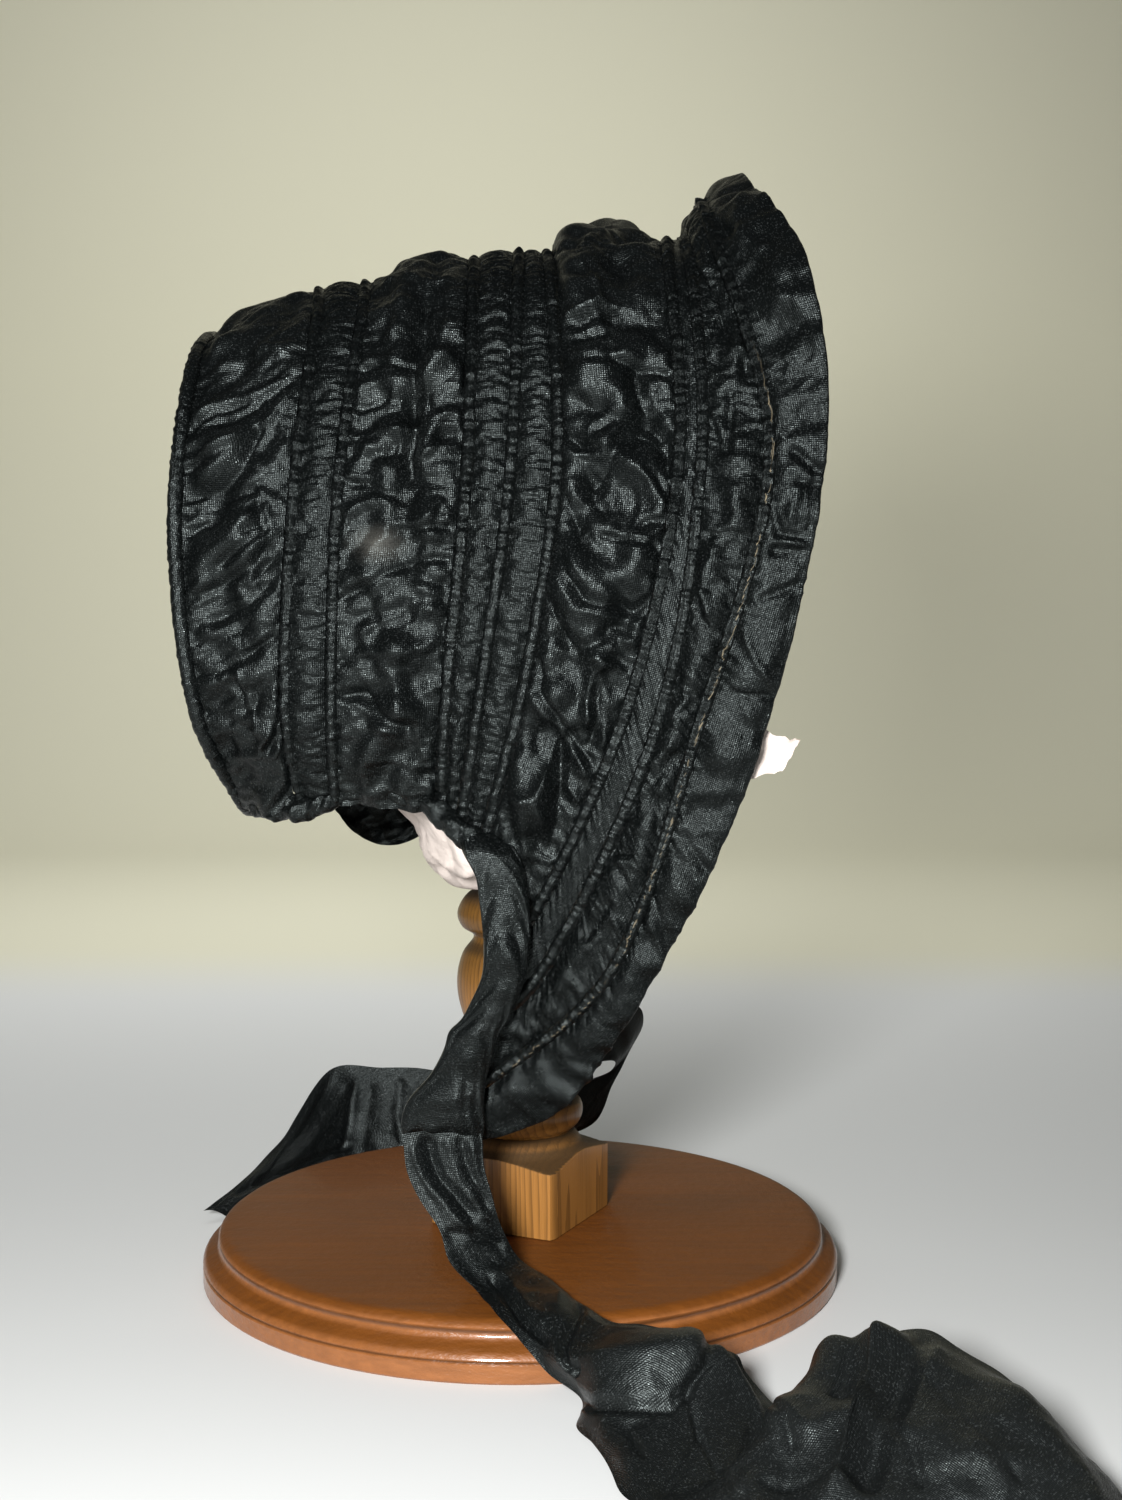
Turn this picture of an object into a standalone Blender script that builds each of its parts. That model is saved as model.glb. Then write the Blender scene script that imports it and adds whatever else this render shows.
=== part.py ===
"""Drawn silk poke bonnet on a turned wooden stand, padded with crumpled paper.

Metres, +Z up. The origin is the centre of the stand's underside. The face opening looks along +X
and the crown's tip along -X. The bonnet is gathered silk between stitched hoop casings: each pair
of neighbouring hoops carries one puff or band, and every wall is hollow and open below and in front.
"""

import math

import bmesh
import bpy
import numpy as np
from mathutils import Matrix

# Clearance between pieces that touch, and the walls of gathered and of plain silk
GAP = 0.0003
GATHERED_WALL = 0.0016
PLAIN_WALL = 0.0013
PAPER_WALL = 0.0012

# Hoop casings: a cane in a stitched channel
CASING_RADIUS = 0.0013
PIPING_RADIUS = 0.0022
HEM_RADIUS = 0.0026
SEAM_GAP = 0.0006

# Columns across a hoop, from the near lower end over the top to the far lower end
BROAD_COLUMNS = 44
BAND_COLUMNS = 36
CASING_POINTS = BAND_COLUMNS + 1
RING_COLUMNS = 42

# How a puff's rise runs along its hoops, as shares of the way from the top centre to a lower end
SIDE_START = 0.5
END_FADE = 0.08
END_RISE = 0.35

# Each hoop's stations, from the top centre down the near side to its lower end
# Columns: forward, half width, height
HOOPS = {
    "tip": (
        (-0.0945, 0.0000, 0.2955),
        (-0.0938, 0.0496, 0.2805),
        (-0.0961, 0.0670, 0.2350),
        (-0.0915, 0.0600, 0.1800),
        (-0.0824, 0.0380, 0.1535),
    ),
    "rear_a": (
        (-0.0618, 0.0000, 0.3100),
        (-0.0574, 0.0555, 0.2932),
        (-0.0619, 0.0750, 0.2400),
        (-0.0652, 0.0700, 0.1820),
        (-0.0632, 0.0550, 0.1550),
    ),
    "rear_b": (
        (-0.0472, 0.0000, 0.3117),
        (-0.0440, 0.0570, 0.2950),
        (-0.0491, 0.0770, 0.2420),
        (-0.0519, 0.0720, 0.1840),
        (-0.0527, 0.0590, 0.1550),
    ),
    "middle_a": (
        (-0.0140, 0.0000, 0.3193),
        (-0.0120, 0.0607, 0.3017),
        (-0.0132, 0.0820, 0.2460),
        (-0.0191, 0.0770, 0.1880),
        (-0.0218, 0.0650, 0.1535),
    ),
    "middle_b": (
        (-0.0004, 0.0000, 0.3210),
        (0.0007, 0.0614, 0.3032),
        (-0.0011, 0.0830, 0.2470),
        (-0.0096, 0.0780, 0.1880),
        (-0.0160, 0.0665, 0.1495),
    ),
    "middle_c": (
        (0.0079, 0.0000, 0.3205),
        (0.0101, 0.0629, 0.3031),
        (0.0116, 0.0850, 0.2480),
        (0.0024, 0.0800, 0.1900),
        (-0.0092, 0.0680, 0.1455),
    ),
    "brim_a": (
        (0.0451, 0.0000, 0.3238),
        (0.0431, 0.0673, 0.3065),
        (0.0447, 0.0910, 0.2520),
        (0.0314, 0.0850, 0.1850),
        (0.0033, 0.0680, 0.1220),
    ),
    "brim_b": (
        (0.0496, 0.0000, 0.3236),
        (0.0490, 0.0688, 0.3064),
        (0.0506, 0.0930, 0.2520),
        (0.0386, 0.0870, 0.1780),
        (0.0026, 0.0640, 0.1010),
    ),
    "ridge": (
        (0.0549, 0.0000, 0.3349),
        (0.0542, 0.0679, 0.3171),
        (0.0685, 0.0970, 0.2540),
        (0.0499, 0.0910, 0.1780),
        (0.0259, 0.0760, 0.1080),
        (-0.0045, 0.0590, 0.0770),
    ),
    "edge": (
        (0.0675, 0.0000, 0.3423),
        (0.0669, 0.0558, 0.3324),
        (0.0781, 0.0900, 0.3055),
        (0.0825, 0.1000, 0.2560),
        (0.0654, 0.0920, 0.1700),
        (0.0319, 0.0750, 0.0953),
        (0.0097, 0.0620, 0.0640),
        (-0.0103, 0.0560, 0.0560),
    ),
}

# Cloth between neighbouring hoops. The puffs stand further out at the top than at the sides, and
# lean puts their crest nearer the rear hoop below 1 and nearer the front hoop above 1.
# Columns: name, rear hoop, front hoop, rows, columns, rise at the top, at the sides, gather, lean
PANELS = (
    ("crown_rear_puff", "tip", "rear_a", 3, BROAD_COLUMNS, 0.0032, 0.0022, 0.0012, 1.7),
    ("crown_rear_band", "rear_a", "rear_b", 2, BAND_COLUMNS, 0.0012, 0.0010, 0.0005, 1.0),
    ("crown_middle_puff", "rear_b", "middle_a", 3, BROAD_COLUMNS, 0.0050, 0.0030, 0.0013, 1.5),
    ("crown_front_band_a", "middle_a", "middle_b", 2, BAND_COLUMNS, 0.0010, 0.0010, 0.0005, 1.0),
    ("crown_front_band_b", "middle_b", "middle_c", 2, BAND_COLUMNS, 0.0008, 0.0008, 0.0005, 1.0),
    ("brim_puff", "middle_c", "brim_a", 4, BROAD_COLUMNS, 0.0080, 0.0038, 0.0014, 0.7),
    ("brim_inner_band", "brim_a", "brim_b", 1, BAND_COLUMNS, 0.0000, 0.0000, 0.0000, 1.0),
    ("brim_outer_band", "brim_b", "ridge", 2, BAND_COLUMNS, 0.0012, 0.0018, 0.0008, 1.0),
    ("brim_edge_band", "ridge", "edge", 2, BAND_COLUMNS, 0.0006, 0.0010, 0.0005, 1.0),
)

# Turned stand. Profiles run from the top down, as radius and height.
PLAQUE_PROFILE = (
    (0.0000, 0.0163),
    (0.0919, 0.0163),
    (0.0948, 0.0158),
    (0.0966, 0.0140),
    (0.0962, 0.0128),
    (0.0972, 0.0106),
    (0.1002, 0.0088),
    (0.1015, 0.0068),
    (0.1010, 0.0060),
    (0.1015, 0.0053),
    (0.1015, 0.0000),
    (0.0000, 0.0000),
)
PLAQUE_TOP = 0.0163
PLAQUE_SIDES = 36
BLOCK_SIDE = 0.0432
BLOCK_STOCK = 0.06
BLOCK_TURN = math.radians(-25.4)
SHOULDER_PROFILE = (
    (0.0000, 0.0460),
    (0.0168, 0.0446),
    (0.0216, 0.0398),
    (0.0320, 0.0363),
    (0.0320, 0.0000),
    (0.0000, 0.0000),
)
TURNING_PROFILE = (
    (0.0000, 0.1245),
    (0.0110, 0.1238),
    (0.0172, 0.1208),
    (0.0203, 0.1150),
    (0.0190, 0.1108),
    (0.0150, 0.1077),
    (0.0186, 0.1020),
    (0.0204, 0.0948),
    (0.0199, 0.0870),
    (0.0168, 0.0775),
    (0.0128, 0.0680),
    (0.0118, 0.0610),
    (0.0150, 0.0572),
    (0.0192, 0.0540),
    (0.0199, 0.0507),
    (0.0186, 0.0472),
    (0.0158, 0.0448),
    (0.0158, 0.0420),
    (0.0000, 0.0420),
)
TURNING_SIDES = 18

# Paper pad that fills the crown and sits on the post
# Columns: height, forward centre, half length, half width
PAD_SECTIONS = (
    (0.1249, -0.0040, 0.0110, 0.0180),
    (0.1330, -0.0110, 0.0165, 0.0440),
    (0.1460, -0.0145, 0.0180, 0.0500),
    (0.1570, -0.0270, 0.0300, 0.0550),
    (0.1750, -0.0385, 0.0400, 0.0590),
    (0.2100, -0.0385, 0.0440, 0.0610),
    (0.2450, -0.0385, 0.0440, 0.0600),
    (0.2750, -0.0410, 0.0410, 0.0520),
    (0.2960, -0.0450, 0.0310, 0.0360),
    (0.3070, -0.0470, 0.0110, 0.0140),
)
PAD_TOP = (-0.0470, 0.0, 0.3098)
PAD_SIDES = 20
PAD_CRUMPLE = 0.0022
PAD_LOBES = 5
PAD_TWIST = 2.0

# Loose end of the paper, from the pad along the inside of the near brim and out past its edge
# Columns: forward, sideways, upper height, lower height
PAPER_STRIP = (
    (-0.0020, -0.0655, 0.1960, 0.1800),
    (0.0150, -0.0757, 0.1960, 0.1780),
    (0.0340, -0.0822, 0.1930, 0.1740),
    (0.0520, -0.0855, 0.1880, 0.1700),
    (0.0655, -0.0862, 0.1835, 0.1665),
    (0.0765, -0.0868, 0.1782, 0.1668),
)
STRIP_POINTS = 11
STRIP_HOLLOW = 0.0012

# Oval back panel inside the tip's piping: rings as shares of its reach, with folds and a slight dish
TIP_RINGS = (1.0, 0.72, 0.40)
TIP_FOLD = 0.0012
TIP_DISH = 0.0015
NAPE_DROP = 0.0035
NAPE_WIDTH = 0.5

# Rolled lower edges of the crown, which stop these shares of the way in from its end hoops
HEM_POINTS = 14
HEM_START = 0.25
HEM_END = 0.15

# Folded ribbon along the rear edge of each ear
# Columns: rear edge, front edge, sideways, height, half thickness
EAR_RIBBON = (
    (-0.0150, -0.0008, 0.0738, 0.1410, 0.0022),
    (-0.0116, 0.0000, 0.0738, 0.1330, 0.0026),
    (-0.0096, 0.0004, 0.0742, 0.1225, 0.0026),
    (-0.0098, -0.0006, 0.0720, 0.1060, 0.0026),
    (-0.0145, -0.0040, 0.0692, 0.0940, 0.0026),
    (-0.0202, -0.0080, 0.0668, 0.0830, 0.0026),
    (-0.0250, -0.0100, 0.0648, 0.0745, 0.0026),
    (-0.0318, -0.0105, 0.0630, 0.0660, 0.0024),
    (-0.0335, -0.0105, 0.0622, 0.0588, 0.0016),
)
RIBBON_SIDES = 8
# The far ribbon's rear edge is folded forward by this much at its lower end
FAR_RIBBON_TUCK = 0.0130

# Rounded lobe of the lower hem that hangs below the far side
# Columns: forward, top height, bottom height
FAR_LOBE = (
    (-0.0660, 0.1470, 0.1420),
    (-0.0600, 0.1475, 0.1345),
    (-0.0520, 0.1475, 0.1300),
    (-0.0430, 0.1475, 0.1300),
    (-0.0340, 0.1470, 0.1345),
    (-0.0270, 0.1465, 0.1405),
)
FAR_LOBE_SIDEWAYS = 0.0600
FAR_LOBE_BULGE = 0.0030
FAR_LOBE_TUCK = 0.0010
LOBE_POINTS = 11

# Near tie, from the ear down over the plaque's rim and out along the surface
# Columns: right edge (forward, sideways, height), left edge (the same), bulge between them
NEAR_TIE = (
    ((-0.0105, -0.0605, 0.0573), (-0.0335, -0.0640, 0.0573), 0.0010),
    ((-0.0074, -0.0640, 0.0410), (-0.0292, -0.0670, 0.0430), 0.0020),
    ((-0.0040, -0.0630, 0.0306), (-0.0225, -0.0690, 0.0332), 0.0020),
    ((0.0018, -0.0620, 0.0215), (-0.0189, -0.0720, 0.0250), 0.0020),
    ((0.0112, -0.0720, 0.0182), (-0.0121, -0.0775, 0.0182), 0.0018),
    ((0.0196, -0.0890, 0.0182), (-0.0049, -0.0930, 0.0180), 0.0020),
    ((0.0271, -0.1035, 0.0185), (0.0034, -0.1048, 0.0122), 0.0030),
    ((0.0350, -0.1095, 0.0200), (0.0094, -0.1105, 0.0070), 0.0040),
    ((0.0463, -0.1130, 0.0182), (0.0179, -0.1180, 0.0032), 0.0060),
    ((0.0536, -0.1150, 0.0160), (0.0176, -0.1320, 0.0014), 0.0070),
    ((0.0599, -0.1170, 0.0144), (0.0213, -0.1415, 0.0012), 0.0055),
    ((0.0614, -0.1190, 0.0114), (0.0241, -0.1520, 0.0012), 0.0050),
    ((0.0660, -0.1235, 0.0066), (0.0275, -0.1700, 0.0012), 0.0050),
    ((0.0695, -0.1285, 0.0040), (0.0380, -0.1860, 0.0012), 0.0035),
    ((0.0725, -0.1370, 0.0014), (0.0500, -0.1960, 0.0012), 0.0012),
    ((0.0766, -0.1340, 0.0036), (0.0610, -0.2010, 0.0012), 0.0012),
    ((0.0795, -0.1300, 0.0080), (0.0710, -0.2040, 0.0014), 0.0060),
    ((0.0818, -0.1262, 0.0140), (0.0800, -0.2060, 0.0018), 0.0085),
    ((0.0870, -0.1240, 0.0200), (0.0890, -0.2075, 0.0020), 0.0075),
    ((0.0975, -0.1278, 0.0242), (0.0990, -0.2090, 0.0020), 0.0010),
    ((0.1065, -0.1320, 0.0270), (0.1085, -0.2100, 0.0020), 0.0020),
    ((0.1135, -0.1385, 0.0249), (0.1180, -0.2110, 0.0016), 0.0050),
    ((0.1215, -0.1460, 0.0215), (0.1270, -0.2115, 0.0012), 0.0050),
    ((0.1296, -0.1550, 0.0159), (0.1350, -0.2115, 0.0012), 0.0040),
    ((0.1360, -0.1650, 0.0105), (0.1420, -0.2110, 0.0012), 0.0030),
    ((0.1415, -0.1750, 0.0050), (0.1480, -0.2095, 0.0012), 0.0016),
    ((0.1450, -0.1860, 0.0014), (0.1520, -0.2070, 0.0012), 0.0006),
)
TIE_COLUMNS = 5

# Far tie, looping forward behind the ear, down behind the block and away round the plaque's back
# Columns: outer edge (forward, sideways, height), inner edge (the same), bulge between them
FAR_TIE = (
    ((-0.0105, 0.0600, 0.0577), (-0.0205, 0.0625, 0.0577), 0.0000),
    ((0.0040, 0.0690, 0.0600), (-0.0080, 0.0700, 0.0460), 0.0010),
    ((0.0240, 0.0720, 0.0695), (0.0200, 0.0740, 0.0480), 0.0020),
    ((0.0395, 0.0730, 0.0705), (0.0360, 0.0760, 0.0510), 0.0020),
    ((0.0430, 0.0790, 0.0640), (0.0400, 0.0810, 0.0500), 0.0010),
    ((0.0370, 0.0840, 0.0540), (0.0290, 0.0830, 0.0430), 0.0000),
    ((0.0310, 0.0830, 0.0380), (0.0170, 0.0800, 0.0360), 0.0000),
    ((0.0250, 0.0850, 0.0240), (0.0100, 0.0770, 0.0230), 0.0010),
    ((0.0080, 0.0915, 0.0176), (0.0000, 0.0720, 0.0174), 0.0010),
    ((-0.0120, 0.1035, 0.0240), (-0.0120, 0.0820, 0.0174), 0.0010),
    ((-0.0260, 0.1110, 0.0340), (-0.0245, 0.1010, 0.0175), 0.0000),
    ((-0.0390, 0.1130, 0.0375), (-0.0330, 0.1060, 0.0070), -0.0010),
    ((-0.0560, 0.1130, 0.0380), (-0.0450, 0.1050, 0.0030), -0.0020),
    ((-0.0740, 0.1100, 0.0385), (-0.0600, 0.0990, 0.0018), -0.0020),
    ((-0.0894, 0.0850, 0.0185), (-0.0775, 0.0800, 0.0014), 0.0020),
    ((-0.1010, 0.0600, 0.0090), (-0.0915, 0.0580, 0.0014), 0.0020),
    ((-0.1110, 0.0430, 0.0040), (-0.1035, 0.0450, 0.0014), 0.0010),
)


def clear_scene():
    for item in list(bpy.data.objects):
        bpy.data.objects.remove(item, do_unlink=True)


def new_collection(name):
    collection = bpy.data.collections.new(name)
    bpy.context.scene.collection.children.link(collection)
    return collection


def make_material(name, colour, roughness, metallic=0.0):
    material = bpy.data.materials.new(name)
    material.use_nodes = True
    shader = material.node_tree.nodes["Principled BSDF"]
    shader.inputs["Base Color"].default_value = (*colour, 1.0)
    shader.inputs["Roughness"].default_value = roughness
    shader.inputs["Metallic"].default_value = metallic
    material.diffuse_color = (*colour, 1.0)
    return material


def add_object(name, data, material, collection):
    item = bpy.data.objects.new(name, data)
    data.materials.append(material)
    collection.objects.link(item)
    return item


def smooth_line(stations, count, closed=False):
    """Catmull-Rom curve through the stations, resampled at equal lengths."""
    known = np.array(stations, float)
    if closed:
        known = np.vstack([known[-1:], known, known[:2]])
    else:
        known = np.vstack([2 * known[0] - known[1], known, 2 * known[-1] - known[-2]])
    knots = np.sqrt(np.linalg.norm(np.diff(known, axis=0), axis=1))
    times = np.concatenate([[0.0], np.cumsum(knots)])
    pieces = []
    for i in range(1, len(known) - 2):
        t0, t1, t2, t3 = times[i - 1 : i + 3]
        p0, p1, p2, p3 = known[i - 1 : i + 3]
        t = np.linspace(t1, t2, 24, endpoint=False)[:, None]
        a1 = ((t1 - t) * p0 + (t - t0) * p1) / (t1 - t0)
        a2 = ((t2 - t) * p1 + (t - t1) * p2) / (t2 - t1)
        a3 = ((t3 - t) * p2 + (t - t2) * p3) / (t3 - t2)
        b1 = ((t2 - t) * a1 + (t - t0) * a2) / (t2 - t0)
        b2 = ((t3 - t) * a2 + (t - t1) * a3) / (t3 - t1)
        pieces.append(((t2 - t) * b1 + (t - t1) * b2) / (t2 - t1))
    pieces.append(known[-2:-1])
    fine = np.vstack(pieces)
    lengths = np.concatenate([[0.0], np.cumsum(np.linalg.norm(np.diff(fine, axis=0), axis=1))])
    wanted = np.linspace(0.0, lengths[-1], count + 1 if closed else count)
    line = np.stack([np.interp(wanted, lengths, fine[:, axis]) for axis in range(3)], axis=1)
    return line[:-1] if closed else line


def hoop_stations(name):
    """The whole hoop, from the near lower end over the top to the far lower end."""
    near = [(x, -half, z) for x, half, z in reversed(HOOPS[name])]
    far = [(x, half, z) for x, half, z in HOOPS[name][1:]]
    return near + far


def grid_normals(grid):
    along = np.gradient(grid, axis=0)
    across = np.gradient(grid, axis=1)
    normals = np.cross(along, across)
    return normals / np.linalg.norm(normals, axis=2, keepdims=True)


def grid_mesh(name, grid):
    """Open sheet of quads over a grid of rows and columns, laid by joining row after row."""
    mesh = bmesh.new()
    rows = [[mesh.verts.new(point) for point in row] for row in grid]
    for lower, upper in zip(rows, rows[1:]):
        for i in range(len(lower) - 1):
            mesh.faces.new((lower[i], upper[i], upper[i + 1], lower[i + 1]))
    data = bpy.data.meshes.new(name)
    mesh.to_mesh(data)
    mesh.free()
    return data


def add_wall(item, thickness, offset=0.0):
    """Solid wall; an offset of 0 leaves the sheet at its middle."""
    wall = item.modifiers.new("wall", "SOLIDIFY")
    wall.thickness = thickness
    wall.offset = offset
    wall.use_even_offset = True
    return item


def add_sheet(name, grid, thickness, material, collection):
    item = add_object(name, grid_mesh(name, grid), material, collection)
    item.data.shade_smooth()
    return add_wall(item, thickness)


def add_tube(name, line, radius, closed, sides_step, material, collection):
    curve = bpy.data.curves.new(name, "CURVE")
    curve.dimensions = "3D"
    curve.bevel_depth = radius
    curve.bevel_resolution = sides_step
    curve.use_fill_caps = not closed
    spline = curve.splines.new("POLY")
    spline.points.add(len(line) - 1)
    for point, place in zip(spline.points, line):
        point.co = (*place, 1.0)
    spline.use_cyclic_u = closed
    return add_object(name, curve, material, collection)


def add_turned(name, profile, steps, material, collection):
    mesh = bmesh.new()
    verts = [mesh.verts.new((radius, 0.0, height)) for radius, height in profile]
    for upper, lower in zip(verts, verts[1:]):
        mesh.edges.new((upper, lower))
    data = bpy.data.meshes.new(name)
    mesh.to_mesh(data)
    mesh.free()
    item = add_object(name, data, material, collection)
    turn = item.modifiers.new("turn", "SCREW")
    turn.steps = steps
    turn.render_steps = steps
    turn.use_merge_vertices = True
    turn.merge_threshold = 0.00001
    turn.use_smooth_shade = True
    return item


def add_boolean(item, other, operation):
    cut = item.modifiers.new(operation.lower(), "BOOLEAN")
    cut.operation = operation
    cut.solver = "EXACT"
    cut.object = other
    other.hide_render = True
    other.display_type = "WIRE"
    return cut


def seam_share(line, spans, reach):
    """Share of each span that keeps the cloth this far from a casing, measured square to the casing."""
    tangents = np.gradient(line, axis=0)
    tangents /= np.linalg.norm(tangents, axis=1, keepdims=True)
    square = np.linalg.norm(np.cross(tangents, spans), axis=1)
    return (reach / square)[:, None]


def panel_grid(rear_hoop, front_hoop, rows, columns, top_rise, side_rise, gather, lean):
    """Cloth between two hoops, held off each casing by the seam gap and puffed between them."""
    rear = smooth_line(hoop_stations(rear_hoop), columns + 1)
    front = smooth_line(hoop_stations(front_hoop), columns + 1)
    rear_radius = PIPING_RADIUS if rear_hoop == "tip" else CASING_RADIUS
    front_radius = 0.0 if front_hoop == "edge" else CASING_RADIUS
    start = seam_share(rear, front - rear, rear_radius + SEAM_GAP)
    end = 1.0
    if front_radius:
        end = 1.0 - seam_share(front, front - rear, front_radius + SEAM_GAP)
    shares = np.linspace(0.0, 1.0, rows + 1)
    flat = np.stack([rear + (front - rear) * (start + (end - start) * v) for v in shares])
    normals = grid_normals(flat)
    side = np.abs(np.linspace(-1.0, 1.0, columns + 1))
    rise = top_rise + (side_rise - top_rise) * np.clip(side / SIDE_START, 0.0, 1.0)
    fade = np.clip((1.0 - side) / END_FADE, 0.0, 1.0)
    folds = np.where(np.arange(columns + 1) % 2 == 0, 1.0, -1.0)
    for row, v in enumerate(shares):
        swell = math.sin(math.pi * v**lean)
        slant = np.roll(folds, 1 if v > 0.5 else 0)
        out = swell * (rise * (END_RISE + (1.0 - END_RISE) * fade) + gather * slant * fade)
        flat[row] += normals[row] * out[:, None]
    return flat


def build_plaque(wood, collection):
    return add_turned("base_plaque", PLAQUE_PROFILE, PLAQUE_SIDES, wood, collection)


def build_post(wood, collection, cutters):
    """Square block with turned shoulders, and the spindle above it, as one piece."""
    bottom = PLAQUE_TOP + GAP
    mesh = bmesh.new()
    bmesh.ops.create_cube(mesh, size=1.0)
    scale = Matrix.Diagonal((BLOCK_SIDE, BLOCK_SIDE, BLOCK_STOCK, 1.0))
    lift = Matrix.Translation((0.0, 0.0, bottom + BLOCK_STOCK / 2))
    turn = Matrix.Rotation(BLOCK_TURN, 4, "Z")
    bmesh.ops.transform(mesh, matrix=lift @ turn @ scale, verts=mesh.verts)
    data = bpy.data.meshes.new("turned_post")
    mesh.to_mesh(data)
    mesh.free()
    post = add_object("turned_post", data, wood, collection)
    shoulder = add_turned("shoulder_cutter", SHOULDER_PROFILE, TURNING_SIDES, wood, cutters)
    add_boolean(post, shoulder, "INTERSECT")
    spindle = add_turned("spindle_cutter", TURNING_PROFILE, TURNING_SIDES, wood, cutters)
    add_boolean(post, spindle, "UNION")
    return post


def build_pad(paper, collection):
    """Crumpled ball of paper: rings at each section, closed with a point above and below."""
    angles = np.linspace(0.0, 2.0 * math.pi, PAD_SIDES, endpoint=False)
    mesh = bmesh.new()
    rings = []
    for level, (height, centre, half_length, half_width) in enumerate(PAD_SECTIONS):
        ends = level in (0, len(PAD_SECTIONS) - 1)
        ring = []
        for i, angle in enumerate(angles):
            wave = math.sin(PAD_LOBES * angle + PAD_TWIST * level) - (i + level) % 2
            dent = 0.0 if ends else PAD_CRUMPLE * wave
            x = centre + (half_length + 0.5 * dent) * math.cos(angle)
            y = (half_width + dent) * math.sin(angle)
            ring.append(mesh.verts.new((x, y, height)))
        rings.append(ring)
    for lower, upper in zip(rings, rings[1:]):
        for i in range(PAD_SIDES):
            j = (i + 1) % PAD_SIDES
            mesh.faces.new((lower[i], lower[j], upper[j], upper[i]))
    mesh.faces.new(list(reversed(rings[0])))
    peak = mesh.verts.new(PAD_TOP)
    for i in range(PAD_SIDES):
        mesh.faces.new((rings[-1][i], rings[-1][(i + 1) % PAD_SIDES], peak))
    data = bpy.data.meshes.new("paper_pad")
    mesh.to_mesh(data)
    mesh.free()
    return add_object("paper_pad", data, paper, collection)


def build_paper_strip(paper, collection):
    upper = smooth_line([(x, y, top) for x, y, top, _ in PAPER_STRIP], STRIP_POINTS)
    lower = smooth_line([(x, y, bottom) for x, y, _, bottom in PAPER_STRIP], STRIP_POINTS)
    middle = (upper + lower) / 2 + np.array([0.0, STRIP_HOLLOW, 0.0])
    grid = np.stack([upper, middle, lower])
    return add_sheet("paper_strip", grid, PAPER_WALL, paper, collection)


def tip_ring(count):
    """Closed ring round the oval back panel: its hoop, and a low arc across the nape."""
    low_x, low_half, low_z = HOOPS["tip"][-1]
    nape = [(low_x, side * low_half * NAPE_WIDTH, low_z - NAPE_DROP) for side in (1.0, -1.0)]
    arch = smooth_line(hoop_stations("tip"), RING_COLUMNS)
    return smooth_line(list(arch) + nape, count, closed=True)


def build_tip(silk, collection):
    """Oval back panel, slightly dished and folded towards its middle, inside its piping."""
    count = RING_COLUMNS
    ring = tip_ring(count)
    centre = ring.mean(axis=0)
    mesh = bmesh.new()
    rows = []
    spokes = ring - centre
    reach = np.linalg.norm(spokes, axis=1)[:, None]
    inner = spokes * (reach - PIPING_RADIUS - SEAM_GAP) / reach
    for share in TIP_RINGS:
        places = centre + inner * share
        if share < 1.0:
            places[:, 0] += TIP_FOLD * (np.arange(count) % 2) + TIP_DISH * (1.0 - share)
        rows.append([mesh.verts.new(place) for place in places])
    for outer, nearer in zip(rows, rows[1:]):
        for i in range(count):
            j = (i + 1) % count
            mesh.faces.new((outer[i], outer[j], nearer[j], nearer[i]))
    middle = mesh.verts.new(centre + np.array([TIP_DISH, 0.0, 0.0]))
    for i in range(count):
        mesh.faces.new((rows[-1][i], rows[-1][(i + 1) % count], middle))
    data = bpy.data.meshes.new("crown_tip")
    mesh.to_mesh(data)
    mesh.free()
    tip = add_object("crown_tip", data, silk, collection)
    tip.data.shade_smooth()
    return add_wall(tip, GATHERED_WALL)


def build_panels(silk, collection):
    for name, *shape in PANELS:
        add_sheet(name, panel_grid(*shape), GATHERED_WALL, silk, collection)


def build_casings(silk, collection):
    add_tube("tip_piping", tip_ring(RING_COLUMNS), PIPING_RADIUS, True, 1, silk, collection)
    for hoop in list(HOOPS)[1:-1]:
        line = smooth_line(hoop_stations(hoop), CASING_POINTS)
        add_tube("casing_" + hoop, line, CASING_RADIUS, False, 0, silk, collection)


def build_hems(silk, collection):
    """Rolled lower edges of the crown, just under the ends of its puffs and bands."""
    drop = HEM_RADIUS + SEAM_GAP + CASING_RADIUS
    crown_hoops = list(HOOPS)[:6]
    ends = np.array([HOOPS[hoop][-1] for hoop in crown_hoops])
    ends[0] += HEM_START * (ends[1] - ends[0])
    ends[-1] += HEM_END * (ends[-2] - ends[-1])
    for side, label in ((-1.0, "near"), (1.0, "far")):
        line = smooth_line(ends * (1.0, side, 1.0) - (0.0, 0.0, drop), HEM_POINTS)
        add_tube("hem_" + label, line, HEM_RADIUS, False, 1, silk, collection)


def build_far_lobe(silk, collection):
    top = [(x, FAR_LOBE_SIDEWAYS, z) for x, z, _ in FAR_LOBE]
    middle = [(x, FAR_LOBE_SIDEWAYS + FAR_LOBE_BULGE, 0.5 * (a + b)) for x, a, b in FAR_LOBE]
    bottom = [(x, FAR_LOBE_SIDEWAYS - FAR_LOBE_TUCK, z) for x, _, z in FAR_LOBE]
    grid = np.stack([smooth_line(line, LOBE_POINTS) for line in (top, middle, bottom)])
    add_sheet("hem_lobe_far", grid, GATHERED_WALL, silk, collection)


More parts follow.
